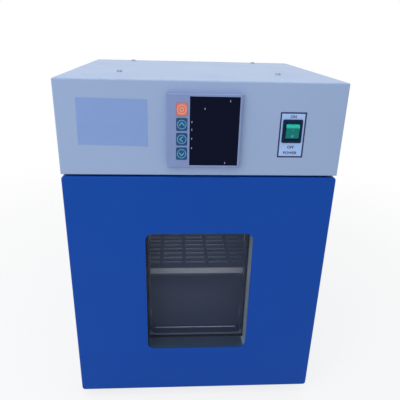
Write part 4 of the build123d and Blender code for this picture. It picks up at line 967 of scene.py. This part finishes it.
def screw_places(node, axis, head_radius):
    """The middle of each head's top and the length of each screw in a CAD node.

    axis is 0, 1 or 2 for x, y or z, with the sign of the heads' side. The screws stand apart, so the points
    near a first point are one screw; that screw is noted and its points are left out, until none is left.
    """
    points = mesh_points(frame["nodes"][node].data)
    index, sign = axis
    flat = [i for i in range(3) if i != index]
    places = []
    while len(points):
        near = np.linalg.norm(points[:, flat] - points[0, flat], axis=1) < 2.5 * head_radius
        own = points[near]
        middle = (own.min(axis=0) + own.max(axis=0)) / 2
        length = np.ptp(own[:, index])
        middle[index] = (own[:, index] * sign).max() * sign
        places.append((middle, length))
        points = points[~near]
    return places


def pan_screw(middle, length, axis, radius, height, shank, turn):
    """A pan-head screw with a cross recess, as a surface turned about its axis.

    The section runs from the head's middle over the dome, round the rim, under the head and down the shank to
    its end. On the dome the height falls by the recess's depth inside the cross, whose arms taper.
    """
    angle = np.linspace(0.0, 2 * np.pi, 48, endpoint=False)
    share = np.linspace(0.0, 1.0, 22)
    crown = 0.16 * share**2
    shoulder = 0.60 * np.clip((share - 0.72) / 0.28, 0, 1) ** 2.2
    dome_height = height * (1.0 - crown - shoulder)
    section_radius = np.concatenate([radius * share, [radius, shank, shank, 0.0]])
    section_height = np.concatenate([dome_height, [0.0, 0.0, height - length, height - length]])
    r = section_radius[:, None] * np.ones(len(angle))
    u = r * np.cos(angle + turn)
    v = r * np.sin(angle + turn)
    arm, arm_width, arm_slope, depth = 0.62 * radius, 0.13 * radius, 0.18 * radius, 0.55 * height
    along = np.maximum(abs(u), abs(v))
    inside = np.minimum(abs(u), abs(v)) < arm_width * (1.35 - 0.35 * along / arm)
    reach = np.clip((arm - along) / arm_slope, 0, 1)
    on_dome = np.arange(len(section_radius))[:, None] < len(share)
    drop = depth * inside * reach * on_dome
    w = section_height[:, None] - drop - height
    index, sign = axis
    points = np.empty((*r.shape, 3))
    flat = [i for i in range(3) if i != index]
    points[..., flat[0]] = middle[flat[0]] + u
    points[..., flat[1]] = middle[flat[1]] + v
    points[..., index] = middle[index] + sign * w
    return points.reshape(-1, 3), quads(len(section_radius), len(angle), False, True)


# Node, axis and side of the heads, body, and in millimetres: head radius, head height, shank radius
SCREWS = (
    ("top_screws", (2, 1.0), "cabinet", 4.0, 2.4, 2.0),
    ("rear_screws", (1, 1.0), "cabinet", 3.0, 1.6, 1.5),
    ("door_screws", (1, 1.0), "door", 3.0, 1.6, 1.5),
    ("base_screws", (2, -1.0), "cabinet", 3.0, 1.6, 1.5),
)


class INCUBATOR_OT_screws(bpy.types.Operator):
    """Turn the plain screws into pan heads with a cross recess, each left at its own angle"""

    bl_idname = "incubator.screws"
    bl_label = "Screws"

    def execute(self, context):
        steel = bright_metal("pan_head_steel", (0.30, 0.34, 0.44), 0.42)
        spread = np.random.default_rng(27)
        for node, axis, body, radius, height, shank in SCREWS:
            parts = [
                pan_screw(
                    middle, length, axis, radius * MM, height * MM, shank * MM, spread.uniform(0.0, np.pi / 2)
                )
                for middle, length in screw_places(node, axis, radius * MM)
            ]
            heads = piece(f"{node}_pan_heads", parts, steel, body)
            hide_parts(node)
        return {"FINISHED"}


# Door gasket

class INCUBATOR_OT_gasket(bpy.types.Operator):
    """Lay the magnetic gasket round the door's back, with its flange, bellows and magnet pocket"""

    bl_idname = "incubator.gasket"
    bl_label = "Gasket"

    def execute(self, context):
        low, high = node_box("door_gasket")
        half_x = (high[0] - low[0]) / 2
        half_z = (high[2] - low[2]) / 2
        # The section's points: how far in from the outer edge and how far behind the inner panel they lie
        section = np.array([
            (16.0, 0.0), (16.0, 2.2), (15.4, 2.9), (13.2, 3.0), (12.5, 4.1), (13.5, 5.3),
            (13.4, 7.2), (12.4, 8.0), (8.0, 7.8), (3.6, 8.0), (2.6, 7.2), (2.5, 5.3),
            (3.5, 4.1), (2.8, 3.0), (0.6, 2.9), (0.0, 2.2), (0.0, 0.0),
        ])
        inward, behind = section.T * MM
        corner = 17.0 * MM
        flat = np.stack([rounded_outline(half_x - step, half_z - step, corner - step, 7) for step in inward])
        depth = -behind[:, None] * np.ones(flat.shape[1])
        points = facing_front(flat, depth, front_middle("door_gasket"), low[1])
        made = piece(
            "magnetic_gasket",
            [(points.reshape(-1, 3), quads(len(inward), flat.shape[1], True, True))],
            rubber("gasket_rubber", (0.028, 0.030, 0.036)),
            "door",
        )
        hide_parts("door_gasket")
        return {"FINISHED"}


# Stage

def backdrop(name, colour):
    """A pale matt floor with the object's shadow on it; it fades to white away from the middle.

    The camera, glass and metal see it paler than it is.
    """
    finish = Finish(name)
    white = finish.node("ShaderNodeEmission", None, {"Color": (1.0, 1.0, 1.0, 1.0), "Strength": 1.0})
    matt = finish.node("ShaderNodeBsdfDiffuse", None, {"Color": (*colour, 1.0)})
    x, y, _ = finish.axes(finish.place())
    far = ((x * x + y * y) ** 0.5).ramp(0.4, 1.4)
    return finish.out(finish.mix(finish.seen() * (0.80 + far * 0.20), matt, white))


def room_light(name, colour, strength):
    """An even room light; the camera, glass and metal see it as white."""
    finish = Finish(name, "worlds")
    plain = finish.node("ShaderNodeBackground", None, {"Color": (*colour, 1.0), "Strength": strength})
    white = finish.node("ShaderNodeBackground", None, {"Color": (1.0, 1.0, 1.0, 1.0), "Strength": 1.0})
    return finish.out(finish.mix(finish.seen(), plain, white), "World")


def lamp(name, power, size, place, target):
    """A square lamp that points at a target."""
    light = bpy.data.lights.new(name, "AREA")
    light.energy = power
    light.size = size
    made = bpy.data.objects.new(name, light)
    bpy.context.scene.collection.objects.link(made)
    made.location = place
    away = Vector(place) - Vector(target)
    made.rotation_euler = away.to_track_quat("Z", "Y").to_euler()


class INCUBATOR_OT_stage(bpy.types.Operator):
    """Set up the camera, the lamps, the room light and the floor"""

    bl_idname = "incubator.stage"
    bl_label = "Stage"

    def execute(self, context):
        scene = context.scene
        stage = scene.incubator_stage
        scene.view_settings.view_transform = "Standard"
        self.add_camera(scene, stage)
        lamp("ceiling_lamp", stage.ceiling, size=1.5, place=(-0.15, -0.25, 1.75), target=(0.0, 0.0, 0.4))
        lamp("side_lamp", stage.side, size=1.2, place=(-1.1, -1.5, 1.1), target=(0.0, 0.0, 0.3))
        scene.world = room_light("room", (0.93, 0.96, 1.0), stage.sky)
        mesh = bpy.data.meshes.new("floor")
        reach = 6.0
        corners = [(-reach, -reach, 0.0), (reach, -reach, 0.0), (reach, reach, 0.0), (-reach, reach, 0.0)]
        mesh.from_pydata(corners, [], [(0, 1, 2, 3)])
        mesh.materials.append(backdrop("pale_floor", (0.88, 0.88, 0.89)))
        floor = bpy.data.objects.new("floor", mesh)
        scene.collection.objects.link(floor)
        return {"FINISHED"}

    def add_camera(self, scene, stage):
        """The camera: turned left by yaw, tipped down by pitch, then rolled about its view."""
        data = bpy.data.cameras.new("camera")
        data.lens = stage.lens
        data.sensor_width = 36.0
        camera = bpy.data.objects.new("camera", data)
        scene.collection.objects.link(camera)
        scene.camera = camera
        level_right = np.array([cos(stage.yaw), sin(stage.yaw), 0.0])
        level_front = np.array([-sin(stage.yaw), cos(stage.yaw), 0.0])
        zenith = np.array([0.0, 0.0, 1.0])
        front = cos(stage.pitch) * level_front - sin(stage.pitch) * zenith
        above = sin(stage.pitch) * level_front + cos(stage.pitch) * zenith
        right = cos(stage.roll) * level_right + sin(stage.roll) * above
        above = cos(stage.roll) * above - sin(stage.roll) * level_right
        turned = Matrix(np.stack([right, above, -front], axis=-1).tolist()).to_4x4()
        camera.matrix_world = Matrix.Translation(stage.place) @ turned


OPERATORS = (
    INCUBATOR_OT_finishes,
    INCUBATOR_OT_label,
    INCUBATOR_OT_switch_plate,
    INCUBATOR_OT_rocker_signs,
    INCUBATOR_OT_key_signs,
    INCUBATOR_OT_display_marks,
    INCUBATOR_OT_collar_highlight,
    INCUBATOR_OT_screws,
    INCUBATOR_OT_gasket,
    INCUBATOR_OT_stage,
)

SETTINGS = (
    ("incubator_paint", IncubatorPaint),
    ("incubator_label", IncubatorLabel),
    ("incubator_switch_plate", IncubatorSwitchPlate),
    ("incubator_keys", IncubatorKeys),
    ("incubator_stage", IncubatorStage),
)


class INCUBATOR_PT_panel(bpy.types.Panel):
    """The incubator's operators and settings in the sidebar"""

    bl_idname = "INCUBATOR_PT_panel"
    bl_label = "Incubator"
    bl_space_type = "VIEW_3D"
    bl_region_type = "UI"
    bl_category = "Incubator"

    def draw(self, context):
        column = self.layout.column()
        for operator in OPERATORS:
            column.operator(operator.bl_idname)
        for name, group in SETTINGS:
            box = self.layout.box()
            for setting in group.__annotations__:
                box.prop(getattr(context.scene, name), setting)


def register():
    for name, group in SETTINGS:
        bpy.utils.register_class(group)
        setattr(bpy.types.Scene, name, bpy.props.PointerProperty(type=group))
    for operator in OPERATORS:
        bpy.utils.register_class(operator)
    bpy.utils.register_class(INCUBATOR_PT_panel)


def unregister():
    bpy.utils.unregister_class(INCUBATOR_PT_panel)
    for operator in reversed(OPERATORS):
        bpy.utils.unregister_class(operator)
    for name, group in reversed(SETTINGS):
        delattr(bpy.types.Scene, name)
        bpy.utils.unregister_class(group)


def main():
    """Register the add-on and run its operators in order."""
    register()
    for operator in OPERATORS:
        name = operator.bl_idname.split(".")[1]
        getattr(bpy.ops.incubator, name)()


if __name__ == "__main__":
    main()
